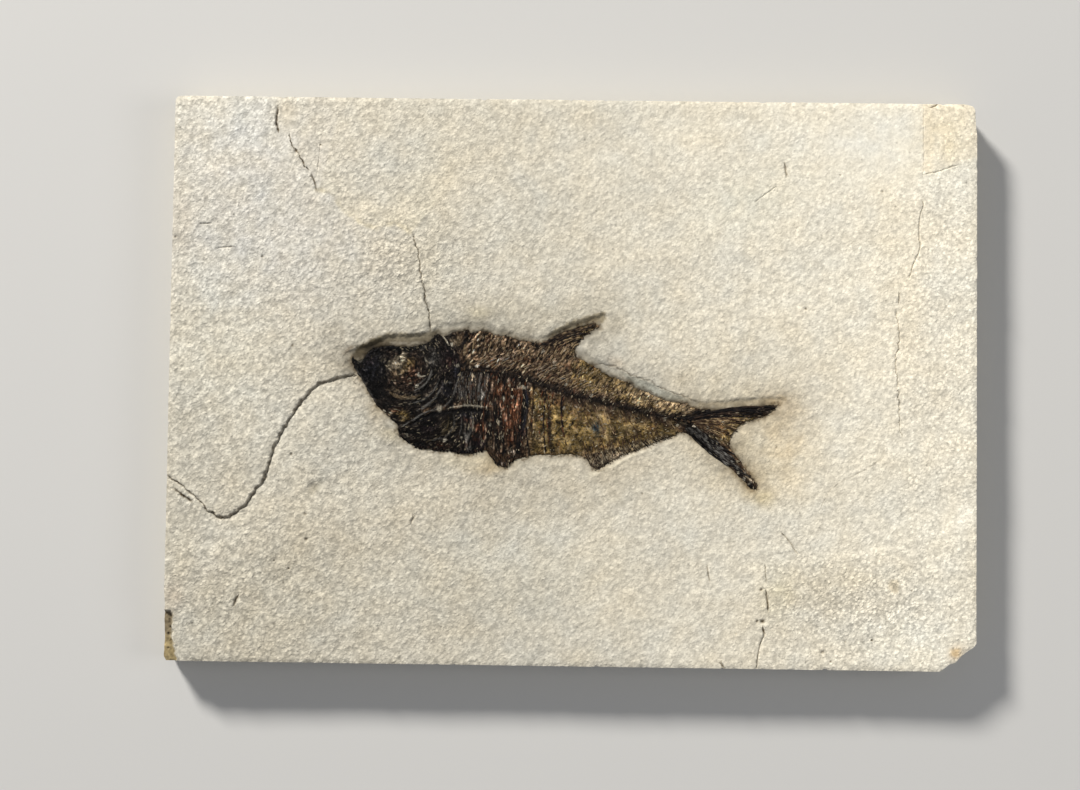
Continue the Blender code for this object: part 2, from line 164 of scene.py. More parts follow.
def aimed(place, forward, up):
    back = -Vector(forward).normalized()
    right = Vector(up).cross(back).normalized()
    turn = Matrix((right, back.cross(right), back)).transposed()
    return Matrix.Translation(place) @ turn.to_4x4()


def link(name, data):
    piece = bpy.data.objects.new(name, data)
    bpy.context.scene.collection.objects.link(piece)
    return piece


def newFinish(name):
    finish = bpy.data.materials.new(name)
    finish.use_nodes = True
    return finish, finish.node_tree, finish.node_tree.nodes["Principled BSDF"]


def setUpStudio():
    camera = bpy.data.cameras.new("camera")
    camera.lens = view["lens"]
    camera.sensor_width = 36.0
    camera.clip_start = 0.01
    viewer = link("camera", camera)
    viewer.matrix_world = aimed(view["place"], view["forward"], view["up"])
    bpy.context.scene.camera = viewer
    for name, (place, size, power, colour) in studio.items():
        light = bpy.data.lights.new(name, "AREA")
        light.shape = "DISK"
        light.size = size
        light.energy = power
        light.color = colour
        link(name, light).matrix_world = aimed(place, -Vector(place), (0, 0, 1))
    world = bpy.data.worlds.new("air")
    world.use_nodes = True
    background = world.node_tree.nodes["Background"]
    background.inputs["Color"].default_value = (*room["air"], 1)
    background.inputs["Strength"].default_value = room["airStrength"]
    bpy.context.scene.world = world
    bpy.context.scene.view_settings.view_transform = "Standard"

    bpy.ops.mesh.primitive_plane_add(size=room["floorSize"], location=(0, 0, -0.0002))
    floor = bpy.context.object
    floor.name = "floor"
    paper, _, shader = newFinish("floorPaper")
    shader.inputs["Base Color"].default_value = (*room["floor"], 1)
    shader.inputs["Roughness"].default_value = 0.85
    floor.data.materials.append(paper)


setUpStudio()
print("studio ready")


def addNode(tree, kind, settings=None, **inputs):
    node = tree.nodes.new(kind)
    for name, value in (settings or {}).items():
        setattr(node, name, value)
    for name, value in inputs.items():
        plug(tree, node, name, value)
    return node


def plug(tree, node, name, value):
    # a socket is named by its text, or by _ and its number, and takes another socket or a plain value
    numbered = name[0] == "_" and name[1:].isdigit()
    socket = node.inputs[int(name[1:]) if numbered else name.replace("_", " ")]
    if isinstance(value, bpy.types.NodeSocket):
        tree.links.new(value, socket)
    else:
        socket.default_value = value


def newTree(name, kind, inputs, outputs):
    # a node group with named inputs, each with its kind and value, and named outputs
    tree = bpy.data.node_groups.new(name, kind)
    for label, socketKind, value in inputs:
        socket = tree.interface.new_socket(label, in_out="INPUT", socket_type=socketKind)
        if value is not None:
            socket.default_value = value
    for label, socketKind in outputs:
        tree.interface.new_socket(label, in_out="OUTPUT", socket_type=socketKind)
    return tree, tree.nodes.new("NodeGroupInput").outputs, tree.nodes.new("NodeGroupOutput").inputs


def maths(tree, operation, first, second=0.0, clamp=False):
    settings = {"operation": operation, "use_clamp": clamp}
    return addNode(tree, "ShaderNodeMath", settings, _0=first, _1=second).outputs[0]


def vectorMaths(tree, operation, first, **inputs):
    return addNode(tree, "ShaderNodeVectorMath", {"operation": operation}, _0=first, **inputs).outputs[0]


def spread(tree, value, fromLow, fromHigh, toLow=0.0, toHigh=1.0):
    return addNode(tree, "ShaderNodeMapRange", {"interpolation_type": "SMOOTHSTEP"}, Value=value,
                   From_Min=fromLow, From_Max=fromHigh, To_Min=toLow, To_Max=toHigh).outputs[0]


def multiplied(tree, first, second):
    # one colour times another colour or a value
    mix = {"data_type": "RGBA", "blend_type": "MULTIPLY"}
    return addNode(tree, "ShaderNodeMix", mix, _0=1.0, _6=first, _7=second).outputs[2]


def noiseAt(tree, place, scale, detail=2.0, roughness=0.5):
    return addNode(tree, "ShaderNodeTexNoise", None, Vector=place, Scale=scale, Detail=detail,
                   Roughness=roughness).outputs["Fac"]


slab = {
    "swell": 0.22, "swellWaves": 7, "swellSeed": 11, "swellLengths": (28.0, 95.0),
    "lumpHeight": 0.045, "grainHeight": 0.045, "waveHeight": 0.055, "edgeWear": 0.55, "whiteness": 0.87,
    "basinDepth": 0.32, "basinSlope": 1.7, "basinRun": 3.4, "fishBed": 1.35,
    "stepDrop": 0.85, "stepFade": 7.0, "spallDrop": 2.1,
    "borderStep": 0.9, "pointStep": 1.07, "basinStep": 0.5, "backStep": 4.0, "backLumps": 0.35,
    "beds": [(0.0, 3.0, 0.45), (3.0, 6.8, 0.06), (6.8, 8.4, 0.36), (8.4, 15.0, 0.04)],
    "levels": [14.2, 12.4, 10.4, 8.6, 8.3, 6.9, 6.6, 4.8, 3.1, 2.8, 1.2, 0.3],
    "stone": (222, 215, 197), "sideTone": (0.80, 0.77, 0.68), "backTone": (0.84, 0.81, 0.72),
}
# the short edges, each point as its y and x
leftEdge = [
    (-109.25, -154.6), (-107.6, -155.5), (-101, -155.2), (-93, -155.5), (-88, -155.1), (-82, -155.5),
    (107.4, -155.5), (108.7, -155.0), (109.25, -153.8),
]
rightEdge = [
    (-109.25, 141.6), (-108.7, 142.4), (-107.5, 143.8), (-106.4, 145.2), (-105.9, 147.3),
    (-103.5, 149.5), (-101.4, 152.0), (-99.9, 154.4), (-98.4, 155.5), (97, 155.5), (100, 155.1),
    (107, 154.7), (108.4, 153.8), (109.25, 151.0),
]
basinEdge = [
    (-88, 6), (-86.5, 1.5), (-83.5, -3), (-80, -8.5), (-76, -13), (-72.5, -16.5), (-70.5, -20.5),
    (-68, -25), (-63, -28.5), (-56, -30), (-46, -31), (-38, -31.5), (-33.5, -32), (-29, -35),
    (-25, -36.5), (-21, -34.5), (-16, -32), (-8, -31.5), (0, -31.2), (4, -32), (6.5, -35.8), (9, -36.4),
    (12, -34.8), (17, -32.2), (22, -29.5), (27, -27.4), (33, -25), (39, -22.8), (43, -22), (48, -25),
    (55, -30), (62, -36.5), (67, -42), (70.5, -43), (73.5, -41.5), (73, -38.5), (69, -33), (65, -27),
    (63.5, -23.5), (66, -19), (70, -16.8), (76, -15), (80, -12), (83.5, -7.5), (82, -4.8), (75, -4.4),
    (65, -5.4), (55, -6.4), (48, -6.8), (43, -5.2), (38, -3.6), (33, -1.6), (30, 0.4), (25, 1.6),
    (20, 4.6), (14.5, 7.4), (8, 9.5), (5, 12), (6.5, 15.5), (11, 18), (13.6, 21.5), (14, 25.0),
    (12.4, 27.0), (6, 25.0), (0, 22.9), (-6, 20.2), (-12, 17.4), (-20, 18.3), (-28, 20.2), (-36, 22.4),
    (-42, 23), (-48, 22.3), (-54, 20.5), (-58, 18.3), (-64, 17.5), (-69, 17.5), (-72.5, 17.2),
    (-76, 15.2), (-79, 13.4), (-83, 12.4), (-86.3, 11.6), (-88.3, 9.0),
]
stepCrack = [
    (-157, -37.6), (-155, -38.5), (-153.5, -39.8), (-151.5, -40.8), (-149, -42.5), (-146.5, -44.8),
    (-143.5, -47.5), (-141.5, -49.3), (-139.5, -51.5), (-136.5, -53.5), (-134.5, -54.3), (-132, -54.2),
    (-130, -53.2), (-128.5, -51.5), (-125.3, -50), (-123.5, -47), (-121.5, -44), (-119.7, -41.2),
    (-118, -39.5), (-117.3, -36), (-116, -33), (-115.3, -30), (-113.7, -25), (-110, -18), (-107, -13.5),
    (-104.7, -9.8), (-101, -5), (-98.6, -2.7), (-94, -1), (-90, 0), (-86.5, 0.9), (-84.2, 1.4),
]
fishOutline = [
    (-85.8, 7.2), (-84.5, 9), (-82.5, 7.3), (-81.5, 7.3), (-80, 9.3), (-78.5, 11.2), (-76, 12.5),
    (-73, 13.2), (-70, 13.3), (-67, 12.9), (-62, 12.8), (-58, 13.8), (-55, 15), (-53, 17.5),
    (-51.5, 18.2), (-50, 16.8), (-48, 17.6), (-46, 18.8), (-43, 19), (-41, 20), (-40, 20), (-39, 18.5),
    (-36, 19.5), (-33, 19.3), (-30, 17.5), (-27, 17.8), (-24, 17.3), (-20, 15.8), (-17, 15.7), (-14, 15),
    (-11, 15.2), (-9, 16.5), (-6, 18.5), (-3, 19.8), (0, 20.6), (3, 21.8), (6, 22.6), (8, 23), (10, 22),
    (11, 20.2), (9, 20.2), (7.5, 19.5), (5, 18), (3.5, 16.5), (2.5, 15), (1.5, 13.5), (1, 12), (2, 9.5),
    (4.5, 8.3), (7, 7.2), (9, 6), (12, 4), (15, 2.5), (18, 1.3), (21, 0.5), (23, 0), (24, -1.5),
    (26, -2.3), (30, -4), (34, -5.6), (37.5, -7.2), (42, -7.3), (45, -7.8), (46.5, -9), (50, -9.8),
    (55, -10.2), (60, -9.9), (65, -9.3), (70, -8.6), (75, -8), (78, -7.5), (80.5, -7.5), (78.5, -9.5),
    (77, -11.5), (75.5, -12.5), (73, -13.5), (70, -14.3), (67.5, -15), (65.5, -16), (64, -17.3),
    (62.5, -19), (61.8, -20.5), (61, -22.5), (61, -23.8), (62.2, -25.6), (64.2, -28.2), (66.2, -30.8),
    (67.8, -32.8), (69.2, -34.6), (70.2, -36.4), (71.2, -38), (72, -39.6), (71.4, -41), (69.6, -41.4),
    (68, -40.3), (66, -38), (64, -36), (61, -33), (58, -30), (55, -27.3), (52, -25.2), (49, -23.3),
    (46, -21.2), (44, -20), (42.5, -19.6), (41, -20), (39, -21.3), (36, -22.2), (32, -23.6), (28, -25.6),
    (24, -27), (20, -28.6), (17, -30.2), (14, -32.2), (11.5, -34), (10, -34.6), (8.5, -34), (7, -32),
    (5.5, -30.2), (4.5, -29.5), (2.5, -29), (0, -28.7), (-3, -28.6), (-7, -29.2), (-10, -28.8),
    (-13, -29), (-15.5, -29.3), (-17, -29.8), (-19, -30.5), (-20, -30.3), (-22, -31.5), (-23.5, -33),
    (-25.5, -34), (-27.5, -33.5), (-29.5, -31.8), (-31, -30.2), (-32.3, -28.5), (-33, -27.5),
    (-35, -27.8), (-38, -29.3), (-41, -29), (-44.5, -28.8), (-46.5, -27.6), (-50, -28), (-53, -27.5),
    (-57, -27), (-60, -26.6), (-62.5, -25), (-64.5, -24), (-66.5, -22), (-67.5, -20), (-67, -18.5),
    (-69, -16.5), (-70.5, -15), (-73, -12.8), (-75, -11.3), (-76.5, -9), (-78, -6.8), (-79.5, -4.2),
    (-80.5, -2), (-82.5, 0.5), (-84, 3), (-85.3, 5.5),
]
spineLine = [
    (-42, 4), (-35, 3.5), (-25, 3), (-18, 0.5), (-12, -1.5), (-5, -3.5), (0, -5), (5, -6.2), (10, -7.5),
    (15, -8.6), (20, -9.8), (25, -11), (30, -12), (35, -13), (40, -14), (45, -15.3),
]
# open cracks: route, width, depth and how dark they are
cracks = [
    ([(-62.4, 55.6), (-59.6, 47.6), (-59.2, 41.5), (-57, 33.5), (-57.2, 29.6), (-56.2, 28.2),
     (-55.4, 25.4), (-55, 20)], 0.6, 0.6, 0.75),
    ([(-115.6, 104.3), (-116, 101), (-116, 98.5), (-115.3, 96.2)], 1.2, 1.0, 0.95),
    ([(-111, 94), (-110.3, 92), (-109, 89.3), (-107, 86.5), (-105.5, 84.2), (-103.8, 81.2)], 0.7, 0.7,
     0.8),
    ([(-101.7, 78), (-100.5, 75.5), (-100, 73.2)], 0.8, 0.7, 0.8),
    ([(134.5, 71), (134.9, 69.5), (133.8, 67), (133.2, 64), (133.2, 56), (133.7, 54.5), (133, 51),
     (131.5, 48), (130.3, 45), (129.8, 42.5)], 0.5, 0.4, 0.29),
    ([(125.6, 35), (125.5, 32.5)], 0.6, 0.6, 0.6),
    ([(124.2, 28), (125, 25), (125.8, 21), (125.8, 17.4), (124.4, 9.3), (125.2, -0.7), (126.4, -18.8)],
     0.55, 0.4, 0.42),
    ([(120.2, -22.4), (119.9, -28), (112.2, -33), (103.7, -37.3), (99.5, -40.5), (95.2, -48.5)], 0.5,
     0.06, 0.3),
    ([(136, 82), (139.5, 82.6), (145, 84.6), (147.5, 85.4)], 0.5, 0.3, 0.22),
    ([(138, 108), (139.7, 108.5)], 0.8, 0.7, 0.8),
    ([(81.5, -58), (82.6, -58.8), (84.6, -61.6), (86.5, -64.5)], 0.6, 0.5, 0.42),
    ([(74.8, -70), (75.2, -75)], 0.4, 0.4, 0.35),
    ([(75.2, -80), (75.8, -83), (76, -86)], 0.9, 0.8, 0.7),
    ([(74, -93.5), (74.6, -95.5)], 0.9, 0.8, 0.85),
    ([(74.4, -97), (73, -100), (72.2, -105), (71.8, -108.5)], 0.5, 0.5, 0.45),
    ([(52.7, -70.5), (53.4, -75.2)], 0.7, 0.5, 0.6),
    ([(58.5, -107.5), (59.5, -109.5)], 0.9, 0.8, 0.8),
    ([(81.4, 84.4), (81.6, 82.8), (82, 81.2)], 1.2, 0.7, 0.85),
    ([(77.5, 76), (70.5, 70.7)], 0.5, 0.25, 0.2),
    ([(-127.3, -84.6), (-127.8, -85.6), (-128.5, -87.4)], 1.3, 0.8, 0.8),
    ([(-60.2, -53.4), (-60.8, -54.6)], 1.0, 0.6, 0.75),
    ([(-144.5, 59.2), (-141, 59.3)], 0.5, 0.3, 0.4),
    ([(-137.5, 49.8), (-132, 50.5)], 0.5, 0.3, 0.3),
    ([(-98.9, 90), (-99.4, 84), (-100, 78)], 0.35, 0.15, 0.3),
    ([(134.6, 109), (134.8, 100), (135.0, 90), (134.6, 80)], 0.3, 0.12, 0.18),
    ([(9.8, 6.6), (16.7, 5.7), (23.6, 2.3), (29.9, 0.5), (33.3, -1.9), (37.5, -3.4), (41, -4.8),
     (47.2, -6.8)], 0.6, 0.25, 0.5),
    ([(-151.9, -44.0), (-150, -45.5), (-148, -46.8), (-146.3, -47.8)], 1.1, 0.8, 1.0),
]
# pits and specks: place, radius, depth, darkness
pits = [
    (-98.8, 90.5, 0.7, 0.5, 0.7), (89.7, 29, 0.7, 0.4, 0.7), (102.7, 81, 0.6, 0.3, 0.5),
    (119, 74.8, 0.6, 0.3, 0.5), (-108, 12.4, 0.9, 0.5, 0.8), (-107.7, -29.5, 0.7, 0.4, 0.6),
    (-107.8, -73.5, 0.7, 0.5, 0.75), (-101.3, -62, 0.9, 0.5, 0.7), (-102, -52.5, 1.0, 0.4, 0.5),
    (-120.5, 46.8, 0.7, 0.4, 0.5), (-154.3, 53.8, 0.8, 0.4, 0.6), (73.3, -79, 0.8, 0.5, 0.7),
    (72, -91, 0.8, 0.6, 0.7), (74, -91.1, 1.2, 0.9, 1.0), (115.7, -97.7, 0.7, 0.4, 0.8),
    (97, -102.5, 0.9, 0.4, 0.5), (100, -106, 0.7, 0.4, 0.7), (105.5, -98.6, 0.6, 0.3, 0.5),
    (130.8, -78.6, 0.5, 0.3, 0.6), (-113.5, -70.5, 0.6, 0.3, 0.5), (27.6, -42.9, 0.6, 0.3, 0.4),
    (78.9, -24.6, 0.6, 0.3, 0.4), (64, -96, 0.7, 0.3, 0.4), (-153.4, -93.6, 0.7, 0.3, 0.8),
    (-153.0, -96.4, 0.6, 0.3, 0.7), (-153.7, -98.9, 0.6, 0.3, 0.8), (-152.8, -101.6, 0.7, 0.3, 0.7),
    (-153.6, -104.4, 0.5, 0.3, 0.6),
]
# inner side of the strip that flaked off at the lower left
spallEdge = [(-157, -89.2), (-153.6, -90.4), (-152.2, -92), (-152.5, -97), (-152.1, -101), (-151.2, -105),
             (-150.0, -110)]
# low ridges where thin beds end: route, height and width
bedEnds = [
    ([(64, -65.5), (72, -65), (80, -64.5), (87, -64)], 0.40, 1.3),
    ([(85, -70), (92, -69), (98, -68), (107, -67.5), (115, -65.5), (125, -63), (130, -60.5)], 0.36, 1.3),
]
# patches that are worked more or less roughly, and where the hollow is deeper
roughSpots = [((-66, 42, 24, 20, 0), 0.40), ((-130, -80, 30, 26, 0), 0.25), ((112, -84, 36, 20, 0), 0.45),
              ((118, 92, 30, 18, 0), -0.30), ((-112, 96, 6, 12, 0), -0.3), ((146, -50, 9, 7, 0), -0.4)]
deepSpots = [((-68, 14, 22, 8, 0), 0.65), ((3, 22, 16, 7, 25), 0.55), ((20, -31, 20, 7, 22), 0.42),
             ((66, -6, 20, 5, 5), 0.22), ((-77, -10, 10, 10, 0), 0.15)]


def spineAt(x):
    # how high up the face the spine runs
    return np.interp(x, *zip(*spineLine))


def slabSwell(x, y):
    # the same slow rise and fall as the solid's face
    chance = random.Random(slab["swellSeed"])
    total = 0.0
    for _ in range(slab["swellWaves"]):
        heading = chance.uniform(0.0, math.tau)
        length = chance.uniform(*slab["swellLengths"])
        a, b, phase = math.cos(heading) / length, math.sin(heading) / length, chance.uniform(0.0, math.tau)
        total = total + np.sin(math.tau * (x * a + y * b) + phase)
    return slab["swell"] * total / math.sqrt(slab["swellWaves"])


def coarseShare(x, y):
    # 1 where the stone is grainy and round-lumped: right of the long crack and at the lower right
    wander = lumps(x, y, 14.0, 31, 2) * 1.6
    right = smooth(-3.0, 3.0, x - 127.0 + wander - 6.0 * smooth(20.0, 60.0, y))
    lower = smooth(-4.0, 4.0, -65.0 - y + wander) * smooth(-3.0, 3.0, x - 75.0)
    return np.maximum(right, lower)


def roughShare(x, y):
    # how roughly each part of the face is worked
    return 0.80 + 0.34 * smooth(40.0, -110.0, x) - 0.12 * smooth(40.0, 100.0, y) + blobs(x, y, roughSpots)


def basinDepthAt(x, y):
    return slab["basinDepth"] + blobs(x, y, deepSpots)


def faceRelief(x, y):
    # the face's height, how dark its cracks and pits are, and its shares of hollow, coarse, flaked and rough
    z = slabSwell(x, y)
    coarse = coarseShare(x, y)
    strokes = lumps(x, y, 1.75, 3, 2, angle=50.0, stretch=1.25)
    grains = lumps(x, y, 1.45, 5, 2)
    tooled = slab["lumpHeight"] * strokes * (1 - coarse) + slab["grainHeight"] * grains * coarse
    tooled = tooled + slab["waveHeight"] * lumps(x, y, 4.4, 9, 2, angle=50.0, stretch=1.25)
    tooled = tooled * roughShare(x, y)

    inBasin = insideDistance(x, y, roundPath(basinEdge, closed=True, passes=1))
    inBasin = inBasin + 0.16 * lumps(x, y, 3.0, 12, 2)
    below = 1 - smooth(-2.0, 4.0, y - spineAt(x))
    gentle = below * (1 - blob(x, y, (22, -31, 20, 7, 22)))
    run = slab["basinSlope"] + (slab["basinRun"] - slab["basinSlope"]) * gentle
    sunk = smooth(-0.9 * gentle, run - 0.9 * gentle, inBasin)
    ledged = blob(x, y, (30, -2, 17, 6, -22))
    tooled = tooled * (1 - 0.45 * sunk * (1 - 0.8 * ledged))
    z = z - basinDepthAt(x, y) * sunk
    z = z - slab["fishBed"] * smooth(0.4, 1.5, insideDistance(x, y, fishOutline))

    # the long crack, whose lower side has dropped
    wanderX = x + 0.22 * lumps(x, y, 1.9, 18, 2)
    wanderY = y + 0.22 * lumps(x, y, 1.9, 19, 2)
    patchy = np.clip(0.85 + 0.28 * lumps(x, y, 2.6, 20, 2), 0.25, 1.15)
    away, side, share = nearPath(wanderX, wanderY, roundPath(stepCrack, passes=1))
    drop = slab["stepDrop"] * (0.35 + 0.65 * smooth(0.12, 0.30, share)) * (share < 0.999)
    z = z - drop * np.exp(-away / slab["stepFade"]) * smooth(-0.18, 0.18, side * away)
    width = (0.82 + 0.73 * smooth(0.17, 0.26, share)) * (0.8 + 0.25 * patchy)
    notch = np.clip(1.0 - away / (0.5 * width), 0.0, 1.0)
    z = z - 0.55 * notch
    dark = smooth(0.0, 0.8, notch) * (0.88 - 0.24 * smooth(0.2, 0.3, share)) * np.maximum(patchy, 0.7)

    for route, width, depth, darkness in cracks:
        loose = 1.0 if len(route) > 4 and width > 0.5 else 0.35
        away, _, share = nearPath(x + loose * (wanderX - x), y + loose * (wanderY - y), route)
        taper = np.sqrt(np.clip(np.sin(np.clip(share, 0.03, 0.97) * np.pi), 0.0, 1.0))
        wide = width * (0.55 + 0.45 * taper) * (1.0 + 0.25 * np.sin(share * 23.0 + width * 40.0))
        notch = np.clip(1.0 - away / (0.5 * wide + 0.1), 0.0, 1.0)
        z = z - depth * notch
        dark = np.maximum(dark, darkness * smooth(0.0, 0.75, notch) * patchy)
    for px, py, radius, depth, darkness in pits:
        notch = smooth(radius, radius * 0.2, np.hypot(x - px, y - py) + 0.08 * lumps(x, y, 1.0, 17))
        z = z - depth * notch
        dark = np.maximum(dark, darkness * notch)

    away, side, _ = nearPath(x, y, spallEdge)
    outer = (x < -149.0) & (y < -88.5)
    flaked = np.where(outer, smooth(-0.25, 0.3, side * away + 0.1 * lumps(x, y, 2.0, 21)), 0.0)
    z = z - flaked * (slab["spallDrop"] + 0.08 * lumps(x, y, 2.2, 22, 2))
    tooled = tooled * (1 - 0.5 * flaked)

    # a soft dent and swelling under the long crack
    z = z - 0.55 * blob(x, y, (-99, -42.5, 4.5, 2.3, 42)) + 0.35 * blob(x, y, (-92, -50, 5.5, 3.0, 30))
    for route, height, width in bedEnds:
        away, side, share = nearPath(x, y, route)
        ridge = np.exp(-(away / width) ** 2) * smooth(-0.6, 0.6, -side * away)
        z = z + height * ridge * np.sin(np.pi * share) ** 0.5
    rough = roughShare(x, y) * (1 - 0.35 * sunk * (1 - ledged)) * (1 - 0.5 * flaked)
    return z + tooled, dark, sunk, coarse, flaked, rough


def scatter(step, seed, jitter=0.2):
    # staggered rows of points over the whole face, each moved a little
    points = []
    for row, y in enumerate(np.arange(-halfY, halfY, step * 0.866)):
        across = np.arange(-halfX, halfX, step) + (row % 2) * step / 2
        points.append(np.stack([across, np.full(len(across), y)], 1))
    points = np.concatenate(points)
    return points + np.random.default_rng(seed).uniform(-jitter, jitter, points.shape) * step


def rowsAlong(route, offsets, step):
    # rows of points beside a route, one for each offset
    points = np.array(route, float)
    lengths = np.concatenate([[0.0], np.cumsum(np.hypot(*np.diff(points, axis=0).T))])
    at = np.linspace(0.0, lengths[-1], max(3, int(lengths[-1] / step)))
    x, y = np.interp(at, lengths, points[:, 0]), np.interp(at, lengths, points[:, 1])
    dx, dy = np.gradient(x), np.gradient(y)
    size = np.hypot(dx, dy)
    return np.concatenate([np.stack([x - dy / size * o, y + dx / size * o], 1) for o in offsets])


def resample(outline, step):
    # evenly spaced points round a closed outline
    ring = np.array(list(outline) + [outline[0]], float)
    lengths = np.concatenate([[0.0], np.cumsum(np.hypot(*np.diff(ring, axis=0).T))])
    at = np.linspace(0.0, lengths[-1], int(lengths[-1] / step), endpoint=False)
    return np.stack([np.interp(at, lengths, ring[:, 0]), np.interp(at, lengths, ring[:, 1])], 1)


def asOutline(ring, every=1):
    return [tuple(p) for p in ring[::every].tolist()]


def triangulate(border, inner):
    # triangles over a bordered sheet; the border keeps its order at the front of the point list
    count = len(border)
    edges = [(i, (i + 1) % count) for i in range(count)]
    points = asOutline(np.concatenate([border, inner]))
    found, _, faces, origins, _, _ = delaunay_2d_cdt(points, edges, [], 1, 1e-7)
    order = {index: first for index, origin in enumerate(origins) for first in origin if first < count}
    spare = count
    place = np.zeros((len(found), 2))
    renamed = []
    for index, point in enumerate(found):
        name = order.get(index)
        if name is None:
            name = spare
            spare += 1
        renamed.append(name)
        place[name] = point
    return place, [[renamed[i] for i in face] for face in faces]


def addMesh(name, points, faces, material, smoothAngle):
    mesh = bpy.data.meshes.new(name)
    mesh.from_pydata((np.asarray(points) * mm).tolist(), [], faces)
    mesh.update()
    mesh.shade_smooth()
    mesh.set_sharp_from_angle(angle=math.radians(smoothAngle))
    mesh.materials.append(material)
    return link(name, mesh)


def paint(piece, name, values):
    # one value or one colour for each point
    values = np.asarray(values, float)
    if values.ndim == 1:
        layer = piece.data.attributes.new(name, "FLOAT", "POINT")
        layer.data.foreach_set("value", values)
    else:
        layer = piece.data.attributes.new(name, "FLOAT_COLOR", "POINT")
        layer.data.foreach_set("color", np.concatenate([values, np.ones((len(values), 1))], 1).ravel())


def linear(red, green, blue):
    # a screen colour as the light it stands for
    screen = np.array([red, green, blue], float) / 255.0
    return np.where(screen <= 0.04045, screen / 12.92, ((screen + 0.055) / 1.055) ** 2.4)


def tinted(tone, amount, shares):
    # red, green and blue drawn towards their shares by an amount at each point
    return tone * (1 + amount[:, None] * (np.array(shares) - 1))


def slabPlan():
    # the worn outline of the face, anticlockwise from the lower left
    ring = resample([(x, y) for y, x in rightEdge + leftEdge[::-1]], slab["borderStep"])
    x, y = ring[:, 0], ring[:, 1]
    nibble = 0.04 * lumps(x, y, 2.6, 41, 2) + 0.35 * smooth(1.1, 2.4, lumps(x, y, 4.0, 42, 2))
    longSide = np.abs(y) > 109.0
    ring[:, 1] = np.where(longSide, y - np.sign(y) * np.clip(nibble * 1.3, 0.0, 1.0), y)
    ring[:, 0] = np.where(longSide, x, x - np.sign(x) * np.clip(nibble, 0.0, 1.0) * (np.abs(x) > 155.0))
    return ring


def inward(ring):
    # the way in from each point of an anticlockwise outline
    ahead = np.roll(ring, -1, axis=0) - np.roll(ring, 1, axis=0)
    size = np.hypot(ahead[:, 0], ahead[:, 1])
    return np.stack([-ahead[:, 1] / size, ahead[:, 0] / size], 1)


def ledge(z):
    # how far the bed at a level stands back from the edge
    return next((back for low, high, back in slab["beds"] if low <= z <= high), 0.0)


